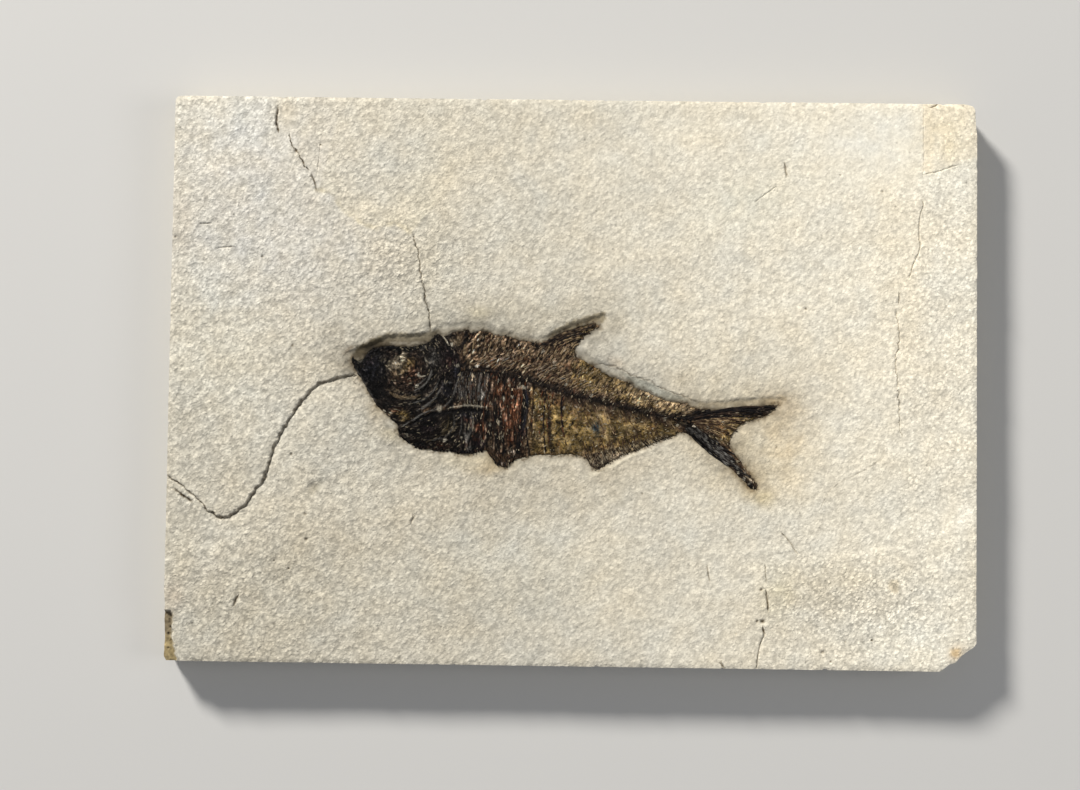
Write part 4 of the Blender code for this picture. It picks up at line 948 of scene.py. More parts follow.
# soft spots: pigment, strength, then place, reach and angle
spots = [
    ("slate", 0.5, (-77, 4, 4.5, 5.5, -20)), ("plum", 0.35, (-78, 7, 3, 2, 0)),
    ("black", 0.7, (-73.5, -4, 3, 4.5, 25)), ("black", 0.9, (-85, 7.5, 1.6, 2.4, 20)),
    ("pale", 0.55, (-82.2, 7.2, 1.2, 0.9, -30)), ("gold", 0.6, (-62.8, 6.2, 2.6, 2.6, 40)),
    ("tan", 0.5, (-66.6, 2.8, 3.6, 1.4, 15)), ("rust", 0.4, (-61.4, 4.0, 1.8, 2.0, 0)),
    ("tan", 0.45, (-66.5, 2.6, 3.6, 1.3, 15)), ("gold", 0.45, (-64.5, 4.2, 3.0, 1.6, 50)),
    ("brown", 0.6, (-68.5, 2.6, 1.6, 3.2, 0)), ("black", 0.7, (-65.4, 4.8, 1.1, 0.5, 40)),
    ("rust", 0.3, (-62, 0.5, 3.5, 2.5, 0)), ("tan", 0.5, (-68, -4.6, 2.0, 1.2, -30)),
    ("tan", 0.45, (-64, -6.6, 1.7, 0.9, 10)), ("black", 0.6, (-61, -9.0, 6.5, 1.5, -3)),
    ("black", 0.6, (-71.5, -9.2, 3.0, 1.6, -30)), ("plum", 0.6, (-47.5, 8, 4.5, 5.0, 0)),
    ("rust", 0.25, (-46.5, 6.5, 3.0, 2.0, 0)), ("slate", 0.7, (-44.8, 4, 2.2, 4.2, 10)),
    ("grey", 0.5, (-53.5, 7.5, 2.8, 4.5, -15)), ("grey", 0.35, (-56, 12.2, 2.5, 1.0, 0)),
    ("black", 0.7, (-60, 12.4, 4.0, 0.9, 2)), ("slate", 0.6, (-47.5, -3.5, 3.0, 4.0, 30)),
    ("black", 0.75, (-51, -7.5, 3.0, 2.4, 45)), ("black", 0.65, (-51.5, -1.5, 1.2, 3.0, -15)),
    ("gold", 0.95, (-64.8, -14.0, 3.0, 2.0, -30)), ("rust", 0.6, (-67.2, -12.0, 2.2, 1.2, 0)),
    ("tan", 0.8, (-69.6, -13.4, 1.3, 0.8, 40)), ("tan", 0.6, (-72.6, -12.6, 1.4, 0.7, -35)),
    ("tan", 0.5, (-65.4, -14.6, 1.6, 0.7, 20)), ("brown", 0.5, (-27, -31, 3.4, 1.6, 0)),
    ("black", 0.9, (-66.6, -17.0, 1.6, 1.1, -40)), ("brown", 0.5, (-73.8, -11.8, 1.2, 2.2, 40)),
    ("black", 0.92, (-56, -17.3, 6.0, 4.0, 8)), ("plum", 0.6, (-55.5, -18, 3.5, 2.2, 0)),
    ("black", 0.9, (-41, -12.5, 9.5, 1.8, 3)), ("slate", 0.6, (-41.5, -14.5, 5.0, 1.6, 5)),
    ("grey", 0.5, (-39.5, -19, 1.3, 5.0, -12)), ("olive", 0.6, (-47, -18, 3.0, 4.5, -30)),
    ("rust", 0.65, (-35, -18.5, 2.4, 2.6, 0)), ("rust", 0.5, (-49.5, -25.5, 3.0, 1.2, 0)),
    ("plum", 0.7, (-35.8, -24, 3.2, 2.6, -35)), ("black", 0.7, (-42, -27.2, 4.2, 1.0, 0)),
    ("grey", 0.55, (-38.8, -26.4, 1.4, 1.2, 0)), ("black", 0.6, (-57, -25.3, 5.0, 1.2, -8)),
    ("grey", 0.6, (-35.5, -5, 2.6, 5.2, 10)), ("tan", 0.45, (-37.6, 0.4, 0.9, 2.6, 8)),
    ("grey", 0.5, (-41.5, -6, 1.5, 3.8, -10)), ("tan", 0.45, (-39.5, 7.6, 3.0, 1.2, 0)),
    ("rust", 0.6, (-31.5, 6.8, 1.6, 2.4, -10)), ("tan", 0.55, (-34.5, 7.2, 3.2, 0.8, -8)),
    ("pale", 0.6, (-36.8, 5.2, 0.9, 0.7, 0)), ("pale", 0.55, (-32.3, 5.4, 0.8, 0.7, 0)),
    ("black", 0.8, (-34, 3.6, 7.5, 1.1, -3)), ("tan", 0.5, (-44.5, 15, 2.6, 2.6, -30)),
    ("brown", 0.5, (-35, 15, 5.0, 3.0, 20)), ("rust", 0.35, (-16.5, 8.0, 3.2, 2.2, 20)),
    ("plum", 0.5, (-27, 9.2, 4.0, 1.6, 25)), ("plum", 0.45, (-11.5, 4.0, 3.2, 1.8, 10)),
    ("rust", 0.85, (-21.5, -7.5, 2.8, 4.0, 0)), ("rust", 0.7, (-22.0, -12.5, 2.6, 3.2, 10)),
    ("rust", 0.5, (-24.6, -16.5, 2.0, 2.6, 0)), ("rust", 0.7, (-23.4, -23.5, 1.4, 2.2, -10)),
    ("rust", 0.6, (-28.2, -4.0, 1.8, 2.6, 0)), ("gold", 0.75, (-13.3, -8.0, 2.2, 4.6, 10)),
    ("black", 0.6, (-22.5, 0.0, 3.0, 2.0, 0)), ("slate", 0.85, (-17.2, -6.5, 1.1, 5.0, 3)),
    ("grey", 0.7, (-18.2, -13.0, 1.0, 3.2, -8)), ("slate", 0.7, (-19.0, -19.5, 1.0, 3.8, -5)),
    ("black", 0.9, (-20.6, -26.8, 1.1, 3.2, 5)), ("black", 0.9, (-16.5, -26.5, 1.2, 2.6, 15)),
    ("black", 0.75, (-27.0, -29.3, 4.6, 1.6, 8)), ("black", 0.75, (-29.0, -12.5, 1.1, 5.5, 0)),
    ("black", 0.65, (-28.8, -21.5, 0.9, 3.5, 0)), ("umber", 0.7, (-8.4, -16.0, 1.3, 8.0, 3)),
    ("plum", 0.6, (-8.3, -21.5, 1.0, 3.6, 5)), ("tan", 0.4, (-13.8, -14.4, 1.8, 1.4, 20)),
    ("tan", 0.5, (-12.2, -22.0, 2.6, 2.6, 0)), ("blue", 1.0, (9.4, -18.0, 2.2, 3.4, 8)),
    ("umber", 0.65, (12.6, -18.5, 1.0, 5.5, -10)), ("umber", 0.6, (3.5, -8.6, 7.5, 1.7, -14)),
    ("umber", 0.5, (17, -12.5, 8.0, 2.2, -12)), ("gold", 0.5, (2.0, -21.0, 4.5, 4.0, 0)),
    ("tan", 0.45, (25.5, -15.2, 3.6, 1.4, -12)), ("rust", 0.3, (12.0, -25.3, 7.0, 0.9, 8)),
    ("rust", 0.45, (31, -18.0, 2.0, 1.2, 0)), ("umber", 0.6, (25.5, -19.3, 1.6, 2.0, 0)),
    ("olive", 0.5, (18, -20, 5.5, 3.0, 10)), ("umber", 0.7, (34, -15.0, 6.0, 1.8, -12)),
    ("gold", 0.5, (28, -6.6, 5.0, 1.8, -18)), ("gold", 0.5, (39.5, -10.4, 3.0, 1.6, -10)),
    ("tan", 0.6, (44, -10.3, 2.8, 1.4, -10)), ("tan", 0.5, (33, -7.2, 4.0, 1.4, -18)),
    ("black", 0.8, (25.2, -2.5, 1.6, 0.5, -25)), ("black", 0.7, (41.3, -7.7, 1.2, 0.5, 0)),
    ("black", 0.7, (45, -8.4, 1.0, 0.5, -20)), ("olive", 0.8, (3.0, 4.6, 5.0, 2.6, -20)),
    ("black", 0.45, (2.4, 4.0, 2.4, 1.0, -15)), ("umber", 0.5, (11, 1.5, 5.0, 2.0, -25)),
    ("tan", 0.4, (-1.5, 12.0, 2.2, 1.2, 0)), ("slate", 0.7, (-6.5, 15.2, 2.8, 1.6, 15)),
    ("slate", 0.5, (-1.5, 18.0, 2.6, 1.6, 25)), ("gold", 0.9, (4.8, 18.6, 3.4, 1.8, 30)),
    ("tan", 0.6, (7.6, 20.4, 2.2, 1.1, 25)), ("tan", 0.5, (1.0, 15.2, 1.6, 2.2, 0)),
    ("pale", 0.95, (47.6, -17.3, 0.9, 0.5, -45)), ("black", 0.7, (45.5, -17.0, 3.4, 1.4, -38)),
    ("black", 0.85, (50, -11.3, 5.0, 1.0, 2)), ("black", 0.75, (66, -9.9, 12.0, 0.9, 7)),
    ("black", 0.85, (57, -28.2, 9.5, 1.0, -41)), ("black", 0.8, (58.6, -24.8, 6.5, 0.9, -53)),
    ("grey", 0.7, (62.6, -31.5, 4.6, 1.0, -48)), ("black", 0.85, (69.2, -39.3, 2.6, 1.5, -35)),
    ("grey", 0.6, (56.0, -25.4, 4.0, 0.9, -46)), ("tan", 0.6, (67.4, -34.8, 2.6, 0.8, -60)),
    ("stone", 0.5, (68.6, -37.0, 1.2, 0.8, -50)), ("rust", 0.6, (57, -17.6, 3.6, 2.2, -30)),
    ("gold", 0.6, (59.4, -21.4, 2.0, 2.4, -40)), ("tan", 0.4, (64, -15.4, 3.4, 0.9, 18)),
    ("grey", 0.4, (-27.0, -32.0, 2.4, 1.0, 0)), ("tan", 0.5, (-26.2, -21.5, 0.7, 1.6, 8)),
    ("grey", 0.4, (-23, -27.3, 1.6, 0.7, 15)), ("tan", 0.4, (-31.3, -24.2, 0.9, 1.1, 0)),
]
# raised or sunken lines: pigment, strength, half width, rise and route
# the grey and pale lines over the head and gill cover are raised ridges, partly with painted highlights along
# them
lines = [
    ("black", 0.9, 0.7, 0.12, [(-79.5, 9.2), (-74, 12.0), (-66, 12.5), (-58, 13.1), (-54.5, 14.8),
     (-52, 17.6)]),
    ("grey", 0.35, 0.5, 0.16, [(-83.5, 4), (-81, -0.5), (-78, -5.5), (-75.5, -8.8)]),
    ("pale", 0.55, 0.4, 0.22, [(-50.2, 17.2), (-49.2, 15.6), (-47.6, 13.2)]),
    ("black", 0.9, 0.6, -0.12, [(-51.5, 17.6), (-49.8, 15.0), (-47.6, 12.0), (-46.2, 9.0)]),
    ("black", 0.9, 0.8, 0.15, [(-40.9, 20), (-41.2, 16.5), (-42.0, 13.4), (-43.2, 10.6)]),
    ("tan", 0.75, 0.6, 0.15, [(-41.3, 13.2), (-41.7, 9.6)]),
    ("grey", 0.75, 0.45, 0.3, [(-60.5, -4.6), (-58.2, -3.4), (-56.2, -1.8), (-54.8, 0.4), (-54.0, 3.4)]),
    ("grey", 0.65, 0.3, 0.22, [(-60.5, -2.8), (-58.6, -2.0), (-57.2, -0.6), (-56.0, 0.6)]),
    ("pale", 0.55, 0.35, 0.2, [(-59.6, 1.5), (-58.2, 0.8), (-56.4, 1.4)]),
    ("black", 0.85, 0.45, -0.15, [(-61.5, -6.2), (-58.0, -5.0), (-55.2, -2.6), (-53.2, 0.6),
     (-52.4, 4.4)]),
    ("tan", 0.5, 0.6, 0.18, [(-70.0, -5.4), (-67.5, -6.8), (-64.5, -7.4), (-61.0, -7.2), (-58.6, -6.4)]),
    ("grey", 0.5, 0.35, 0.22, [(-62.5, -9.6), (-58.5, -8.8), (-55.0, -6.8), (-52.6, -3.8),
     (-51.0, 0.0)]),
    ("grey", 0.6, 0.35, 0.25, [(-59.5, -12.3), (-56.0, -10.2), (-53.4, -8.2), (-51.4, -5.6),
     (-50.2, -2.8)]),
    ("grey", 0.45, 0.35, 0.2, [(-57.6, -11.6), (-54.6, -9.8), (-52.6, -7.4)]),
    ("grey", 0.45, 0.4, 0.2, [(-49.5, -2.0), (-48.2, -1.0), (-46.0, -1.4)]),
    ("grey", 0.6, 0.35, 0.25, [(-48.8, -10.4), (-46.8, -8.4), (-45.2, -5.6), (-44.6, -2.6),
     (-43.6, 0.8)]),
    ("grey", 0.8, 0.34, 0.3, [(-65.0, -18.4), (-62.6, -16.8), (-60.0, -15.2), (-57.4, -13.4),
     (-55.4, -12.5), (-52.6, -11.8), (-50.4, -11.0), (-48.4, -10.2)]),
    ("pale", 0.42, 0.3, 0.3, [(-46.8, -10.9), (-43.4, -10.3), (-40.4, -9.9), (-36.6, -10.1),
     (-32.6, -10.6)]),
    ("black", 0.95, 0.9, -0.22, [(-62.0, -17.9), (-58.4, -15.4), (-55.0, -13.9), (-50.4, -12.6),
     (-45.6, -12.2), (-40, -11.6), (-32, -12.0)]),
    ("grey", 0.55, 0.32, 0.2, [(-38.6, -12.6), (-37.6, -16.4), (-38.6, -20.6), (-40.4, -24.8)]),
    ("grey", 0.45, 0.3, 0.18, [(-45.4, -13.6), (-44.8, -17.2), (-46.6, -20.6), (-49.6, -23.2)]),
    ("olive", 0.6, 0.35, 0.2, [(-47.4, -14.0), (-47.2, -17.4), (-48.6, -20.2), (-51.6, -22.6),
     (-55.6, -24.2)]),
    ("grey", 0.5, 0.35, 0.16, [(-53.6, -23.6), (-50.8, -22.6), (-48.6, -23.2)]),
    ("grey", 0.4, 0.3, 0.16, [(-42.4, -13.4), (-42.0, -17.4), (-43.0, -21.4)]),
    ("black", 0.8, 0.4, -0.12, [(-36.4, -12.4), (-35.2, -15.6), (-35.6, -19.6), (-38.4, -23.4)]),
    ("black", 0.7, 0.4, -0.1, [(-43.8, -13.0), (-43.2, -16.6), (-44.6, -20.8), (-47.8, -24.4)]),
    ("black", 0.75, 0.55, 0.18, [(-42, 4), (-35, 3.6), (-25, 2.8), (-18, 0.4), (-12, -1.7), (-5, -3.7),
     (0, -5.1), (5, -6.2), (10, -7.4), (15, -8.6), (20, -9.7), (25, -10.8), (30, -12), (35, -13),
     (40, -13.6), (45, -14)]),
    ("soot", 0.85, 0.55, 0.1, [(40, -15.2), (45, -17.4), (50, -21.2), (56, -26.2), (62, -31.8),
     (67, -37), (70.5, -40.3)]),
    ("black", 0.85, 0.6, 0.12, [(43, -14.4), (47, -11.6), (52, -10.6), (60, -10.4), (70, -9.3),
     (80, -7.8)]),
    ("black", 0.8, 0.5, 0.1, [(50, -18.4), (54, -21.6), (58, -25.4), (62, -30), (65.5, -34)]),
    ("black", 0.75, 0.5, 0.1, [(47, -14.6), (52, -14.0), (57, -12.8), (63, -12.2), (70, -11.4)]),
    ("black", 0.75, 0.35, 0.1, [(-11, 14.9), (-6, 17.9), (0, 20.2), (5, 21.9), (8.6, 22.6)]),
    ("black", 0.85, 1.7, 0.1, [(-18.4, -2.6), (-17.6, -9), (-18.4, -14), (-19.6, -20), (-20.6, -27.6)]),
    ("slate", 0.7, 0.5, 0.12, [(-17.6, -4), (-16.9, -9), (-17.8, -15), (-19, -21)]),
    ("black", 0.85, 1.0, 0.1, [(-27.6, -11), (-27.3, -17), (-26.6, -22), (-25.4, -27.4)]),
    ("black", 0.8, 0.9, 0.1, [(-29.8, -9), (-29.5, -16), (-29, -22), (-27.6, -28)]),
    ("black", 0.75, 0.8, 0.1, [(-9.6, -5.6), (-8.7, -12), (-8.4, -18), (-8.2, -24), (-7.4, -28)]),
    ("umber", 0.6, 0.6, 0.08, [(-23.6, -2), (-23.9, -9), (-24.8, -16)]),
    ("soot", 0.6, 1.5, 0.12, [(-41, 3.4), (-30, 3.2), (-20, 1.2), (-8, -2.8), (4, -6.0), (16, -8.8),
     (30, -12.0), (43, -14.6)]),
    ("black", 0.8, 0.45, 0.1, [(-15.5, 14.6), (-13.0, 13.0), (-10.6, 12.4)]),
    ("black", 0.7, 0.45, 0.1, [(-33, -28.2), (-29.8, -31.0), (-27.4, -33.0), (-25.4, -33.5),
     (-22.8, -32.2), (-20.6, -30.4)]),
    ("black", 0.6, 0.5, 0.06, [(-17, -30), (-13, -28.8), (-14.4, -27.4)]),
    ("umber", 0.7, 0.45, 0.08, [(5, -28.3), (10, -27.9), (16, -26.3), (22, -23.8), (30, -21.6),
     (38, -20.6)]),
    ("black", 0.5, 0.35, 0.06, [(4.5, 8.0), (7.5, 6.6), (11, 4.2), (16, 1.6), (22, -0.2)]),
    ("olive", 0.6, 0.3, 0.05, [(23, -1.2), (30, -4.2), (37, -7.2), (46, -8.6)]),
]
# bright flecks, partly bare bone and partly painted glints: place and radius
flecks = [
    (66.4, -36.4, 0.6), (68.6, -38.6, 0.7), (64.2, -34.4, 0.6), (66.8, -34.6, 0.5), (60.4, -28.6, 0.5),
    (62.4, -31.6, 0.6), (47.6, -17.4, 0.8), (50.4, -20.4, 0.5), (53.0, -22.6, 0.5), (-69.6, -13.4, 0.7),
    (-72.4, -12.6, 0.6), (-63, -21.9, 0.8), (-51.0, -11.3, 1.1), (-26.4, -7.2, 0.9), (-31.3, -17.4, 0.9),
    (-26.4, -21.8, 0.8), (-25.4, -15.3, 0.7), (-20.5, -2.9, 0.8), (-18.6, -3.1, 0.6), (-11.2, 11.5, 0.8),
    (-30.6, -9.3, 0.8), (-22.8, -6.6, 0.6), (-17.4, 14.3, 0.6), (-3.2, 11.6, 0.7), (-28.8, -0.2, 0.5),
    (24.2, -19.2, 0.8), (31.2, -17.8, 0.6), (36, -14.0, 0.8), (-48.6, -23.6, 0.8), (-42.2, -22.4, 0.6),
    (-59.8, -2.6, 0.6), (-59.2, 1.6, 0.7), (-44.0, 5.4, 0.9), (-56.2, 7.2, 0.6), (-28.0, -16.2, 0.6),
    (-3.0, -10.4, 0.7), (1.8, -10.2, 0.6), (-12.8, -9.6, 0.7), (57.6, -21.6, 0.5), (54.6, -25.2, 0.5),
    (58.4, -14.7, 0.4), (-69.0, -13.2, 0.7), (-38.4, 10.6, 0.7), (-11.4, -14.6, 0.6),
    (-17.0, -18.0, 0.6), (-7.0, 7.3, 0.5), (7.4, -5.4, 0.5), (-2.4, -1.4, 0.6), (-8.2, 0.4, 0.5),
    (-12.4, 1.2, 0.5), (40.6, -16.6, 0.4), (52.4, -17.0, 0.4), (-46.4, 13.6, 0.5),
]
# parts that are made lighter or darker as a whole
liftSpots = [
    ((35, -8, 11, 4, -18), 0.80), ((4, -10, 24, 18, -10), 0.36), ((-20, 8, 10, 6, 10), 0.10),
    ((57, -17.5, 5, 4, -20), 0.3), ((-67, 6, 7, 5, 0), -0.12), ((-13, -14, 2.6, 9, 0), 0.76),
    ((60, -29, 7, 3.5, -44), 0.55), ((-67, 6.5, 4, 2.4, 20), 0.52), ((-63, 11.3, 9, 1.7, 4), -0.60),
    ((22, -20, 14, 6, 10), 0.16), ((62, -12, 16, 3, 8), 0.25),
]


def fishGrain(x, y, seed):
    # fine streaks that follow the bones of each part, from about -1 to 1
    radius, angle = np.hypot(x + 65.0, y - 5.0), np.arctan2(y - 5.0, x + 65.0)
    plain = lumps(x, y, 1.35, seed + 30, 2)
    rings = lumps(angle * 13.0 / 2.6, radius + 0.5 * plain, 1.25, seed, 2)
    ringed = smooth(7.0, 11.0, radius) * smooth(-80.0, -72.0, x) * smooth(12.0, 5.0, y)
    rings = rings * ringed + plain * (1 - ringed)
    upright = lumps(x, y, 1.15, seed + 10, 2, angle=86.0, stretch=4.0)
    leaning = lumps(x, y, 1.05, seed + 20, 2, angle=50.0, stretch=2.4)
    upper = lumps(x, y, 0.9, seed + 40, 2, angle=11.0, stretch=3.6)
    lower = lumps(x, y, 0.9, seed + 50, 2, angle=-44.0, stretch=3.6)
    above = smooth(-1.0, 1.5, y - spineAt(x))
    body = upright * (1 - above) + leaning * above
    golden = smooth(-17.0, -11.0, x) * (1 - above)
    blotches = (0.80 * plain + 1.05 * lumps(x, y, 3.0, seed + 60, 2)) / 1.5
    body = body * (1 - golden) + blotches * golden
    head = 1 - smooth(-45.0, -41.0, x)
    tail = smooth(43.0, 49.0, x)
    lobes = np.where(y > -17.0 - 0.05 * (x - 45.0), upper, lower)
    return (rings * head + body * (1 - head)) * (1 - tail) + lobes * tail


def liftAt(x, y):
    return 1.0 + blobs(x, y, liftSpots)


def domeHeight(x, y, inside):
    # the fish's height without its fine relief
    z = faceZ + slabSwell(x, y) - basinDepthAt(x, y) + fish["edgeLift"]
    z = z + fish["edgeRise"] * smooth(0.0, 0.9, inside)
    return z + fish["bodyRise"] * smooth(0.0, fish["bodyReach"], inside)


def laid(colour, name, amount):
    # a pigment laid over a colour, by an amount at each point
    amount = np.clip(amount, 0.0, 1.0)[:, None]
    return colour * (1 - amount) + linear(*pigment[name]) * amount


def dulled(colour, amount, shares):
    # drawn towards a grey of the same brightness, itself tinted by shares
    return colour * (1 - amount) + colour.mean(axis=1, keepdims=True) * np.array(shares) * amount


def fishSurface(x, y, inside):
    # height and colour of the fossil
    grain, mottled = fishGrain(x, y, 101), fishGrain(x, y, 201)
    speck = lumps(x, y, 0.75, 151, 2)
    wander = lumps(x, y, 3.2, 161, 3)
    behindHead, behindGill = smooth(-46.0, -38.0, x), smooth(-46.0, -40.0, x)
    z = domeHeight(x, y, inside)
    z = z + fish["headRise"] * (1 - smooth(-48.0, -40.0, x)) * smooth(0.5, 4.0, inside)
    z = z + fish["grainHeight"] * grain + fish["speckHeight"] * speck

    # wide areas, the dark band of the backbone and smaller patches
    colour = np.tile(linear(*pigment["brown"]), (len(x), 1))
    for name, strength, soft, outline in zones:
        edge = insideDistance(x, y, outline) + 0.9 * wander
        colour = laid(colour, name, strength * smooth(-soft, soft, edge))
    away, _, _ = nearPath(x, y, spineLine)
    colour = laid(colour, "soot", 0.75 * (1 - smooth(1.2, 3.4, away + 0.4 * wander)))
    patchy = np.clip(0.85 + 0.25 * wander + 0.25 * grain, 0.0, 1.3)
    for name, strength, spot in spots:
        amount = strength * blob(x + 0.3 * wander, y + 0.2 * grain, spot) * patchy
        colour = laid(colour, name, amount)
        if name == "black":
            z = z - fish["blackDepth"] * amount

    # light and dark mottling, gentler in the golden flank and over the eye
    mixed = (0.6 * mottled + 0.5 * grain + 0.4 * speck) / 0.88
    flank = smooth(-18.0, -10.0, x) * smooth(48.0, 42.0, x)
    tame = np.maximum(flank, 1.2 * blob(x, y, (-67, 5.5, 6, 4.5, 0)))
    mixed = mixed - 0.5 * tame * np.clip(mixed - 0.4, 0.0, 9.0)
    front = 1 - smooth(-22.0, 8.0, x)
    drift = lumps(x, y, 5.0, 231, 2) * behindHead * (1 - 0.6 * smooth(42.0, 46.0, x))
    colour = colour * np.exp(0.34 * drift)[:, None]
    rusty = smooth(0.6, 1.8, lumps(x, y, 3.4, 232, 2)) * behindHead * smooth(30.0, 10.0, x)
    colour = laid(colour, "rust", 0.30 * rusty)
    mossy = smooth(0.3, 1.5, lumps(x, y, 4.2, 233, 2)) * smooth(-8.0, 4.0, x) * smooth(46.0, 40.0, x)
    colour = laid(colour, "olive", 0.5 * mossy)
    colour = colour * np.exp(fish["mottle"] * (1 + 0.35 * front) * (mixed - 0.22 * front))[:, None]
    # the brightest mottling is greyed, and its brightest specks laid in stone colour: painted glints of the
    # glossy bone
    colour = dulled(colour, (0.22 * smooth(0.0, 1.6, mixed))[:, None], (1.10, 1.0, 0.86))
    colour = laid(colour, "stone", 0.24 * smooth(1.3, 2.4, mixed))
    colour = laid(colour, "black", 0.6 * smooth(0.7, 1.9, -mixed))
    dim = (1 - behindGill) * (1 - blob(x, y, (-66, 4, 8, 7, 0))) * (1 - blob(x, y, (-66, -13, 5, 3, 0)))
    colour = colour * (liftAt(x, y) * (1 - 0.35 * dim))[:, None]

    # lines laid and raised or sunk; on the head the grey and pale ones are partly painted highlights along
    # ridges
    for name, strength, width, rise, route in lines:
        away, _, share = nearPath(x, y, roundPath(route))
        taper = np.clip(1.25 * np.sin(np.pi * np.clip(share, 0.06, 0.94)) ** 0.5, 0.3, 1.0)
        ragged = width * (1 + 0.2 * wander) * taper
        line = 1 - smooth(0.45 * ragged, 1.25 * ragged, away)
        z = z + rise * line
        colour = laid(colour, name, strength * line * np.clip(0.95 + 0.25 * mottled, 0.2, 1.2))
    # bright flecks, raised a little, partly painted glints
    for fx, fy, radius in flecks:
        away = np.hypot(x - fx, (y - fy) * 0.85) + 0.16 * wander + 0.18 * mottled
        fleck = 1 - smooth(0.3 * radius, radius, away)
        z = z + fish["fleckHeight"] * fleck
        colour = laid(colour, "pale", 0.45 * fleck)
    return np.minimum(z, fish["highest"]), colour


def makeFishRelief(material):
    # a closed sheet: its face with relief and a flat underside sunk in the stone
    ring = resample(roundPath(fishOutline, closed=True, passes=1), fish["borderStep"])
    grow = fish["grow"] + 0.16 * lumps(ring[:, 0], ring[:, 1], 1.4, 171, 2)
    ring = ring - inward(ring) * grow[:, None]
    rx, ry = ring.T
    if np.sum(rx * np.roll(ry, -1) - np.roll(rx, -1) * ry) < 0:
        ring = ring[::-1]
    count = len(ring)
    loose = scatter(fish["pointStep"], 5)
    loose = loose[(np.abs(loose[:, 0] + 2) < 86) & (np.abs(loose[:, 1] + 9) < 34)]
    edge = asOutline(ring)
    flat, faces = triangulate(ring, loose[insideDistance(*loose.T, edge) > 0.2])
    x, y = flat.T
    z, colour = fishSurface(x, y, insideDistance(x, y, edge))
    z[:count] = fish["sunkEdge"]
    under = np.column_stack([ring, np.full(count, fish["base"])])
    total = len(flat)
    faces += [[i, total + i, total + (i + 1) % count, (i + 1) % count] for i in range(count)]
    _, belowFaces = triangulate(ring, np.zeros((0, 2)))
    faces += [[total + i for i in reversed(face)] for face in belowFaces]
    piece = addMesh("fish", np.concatenate([np.stack([x, y, z], 1), under]), faces, material, 60)
    paint(piece, "tone", np.concatenate([colour, np.tile(linear(*pigment["umber"]), (count, 1))]))
    return piece


def boneGrainGroup():
    # fine grit over bone: its colour, its roughness and its height
    inputs = [("Place", "NodeSocketVector", None), ("Tone", "NodeSocketColor", None),
              ("Scale", "NodeSocketFloat", 1500.0), ("Gloss", "NodeSocketFloat", 0.34)]
    outputs = [("Colour", "NodeSocketColor"), ("Roughness", "NodeSocketFloat"), ("Height", "NodeSocketFloat")]
    tree, given, out = newTree("boneGrain", "ShaderNodeTree", inputs, outputs)
    grit = noiseAt(tree, given["Place"], given["Scale"], 2.0, 0.6)
    fine = noiseAt(tree, given["Place"], maths(tree, "MULTIPLY", given["Scale"], 2.6), 1.0, 0.5)
    shade = spread(tree, grit, 0.25, 0.75, 0.72, 1.28)
    shade = maths(tree, "MULTIPLY", shade, spread(tree, fine, 0.2, 0.8, 0.85, 1.15))
    dullest = maths(tree, "ADD", given["Gloss"], 0.25)
    tree.links.new(multiplied(tree, given["Tone"], shade), out["Colour"])
    tree.links.new(spread(tree, grit, 0.3, 0.7, given["Gloss"], dullest), out["Roughness"])
    tree.links.new(maths(tree, "ADD", grit, maths(tree, "MULTIPLY", fine, 0.5)), out["Height"])
    return tree


boneGrain = boneGrainGroup()


def fossilFinish(name, gloss, scale):
    finish, tree, shader = newFinish(name)
    place = addNode(tree, "ShaderNodeTexCoord").outputs["Object"]
    tone = painted(tree, "tone", "Color")
    grit = addNode(tree, "ShaderNodeGroup", {"node_tree": boneGrain}, Place=place, Tone=tone, Scale=scale,
                   Gloss=gloss).outputs
    bump = addNode(tree, "ShaderNodeBump", None, Height=grit["Height"], Distance=0.00025, Strength=0.9)
    plug(tree, shader, "Base_Color", grit["Colour"])
    plug(tree, shader, "Roughness", grit["Roughness"])
    plug(tree, shader, "Normal", bump.outputs[0])
    plug(tree, shader, "Specular_IOR_Level", 0.07)
    return finish


fossil = makeFishRelief(fossilFinish("fossilBone", 0.34, 1500.0))
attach(fossil, "root")
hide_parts("fossil_fish")
print("fish", len(fossil.data.polygons), "faces")


def newShapeTree(name, inputs):
    # a tree that takes a shape and its own inputs, and gives a shape back
    inputs = [("Geometry", "NodeSocketGeometry", None)] + inputs
    return newTree(name, "GeometryNodeTree", inputs, [("Geometry", "NodeSocketGeometry")])


def randomAt(tree, low, high, seed, later=0.0):
    if later:
        seed = maths(tree, "ADD", seed, later)
    chance = addNode(tree, "FunctionNodeRandomValue", {"data_type": "FLOAT"}, _2=low, _3=high, Seed=seed)
    return chance.outputs[1]


def storeLayer(tree, geometry, domain, name, value):
    return addNode(tree, "GeometryNodeStoreNamedAttribute", {"data_type": "FLOAT", "domain": domain},
                   Geometry=geometry, Name=name, Value=value).outputs[0]


def namedLayer(tree, name):
    return addNode(tree, "GeometryNodeInputNamedAttribute", {"data_type": "FLOAT"}, Name=name).outputs[0]


def placeAll(tree, points, shape, turn, size):
    return addNode(tree, "GeometryNodeInstanceOnPoints", None, Points=points, Instance=shape, Rotation=turn,
                   Scale=size).outputs[0]


def joined(tree, x, y, z):
    return addNode(tree, "ShaderNodeCombineXYZ", None, X=x, Y=y, Z=z).outputs[0]


def closeTree(tree, geometry, material, out):
    whole = addNode(tree, "GeometryNodeRealizeInstances", None, Geometry=geometry)
    finished = addNode(tree, "GeometryNodeSetMaterial", None, Geometry=whole.outputs[0], Material=material)
    tree.links.new(finished.outputs[0], out[0])
    return tree


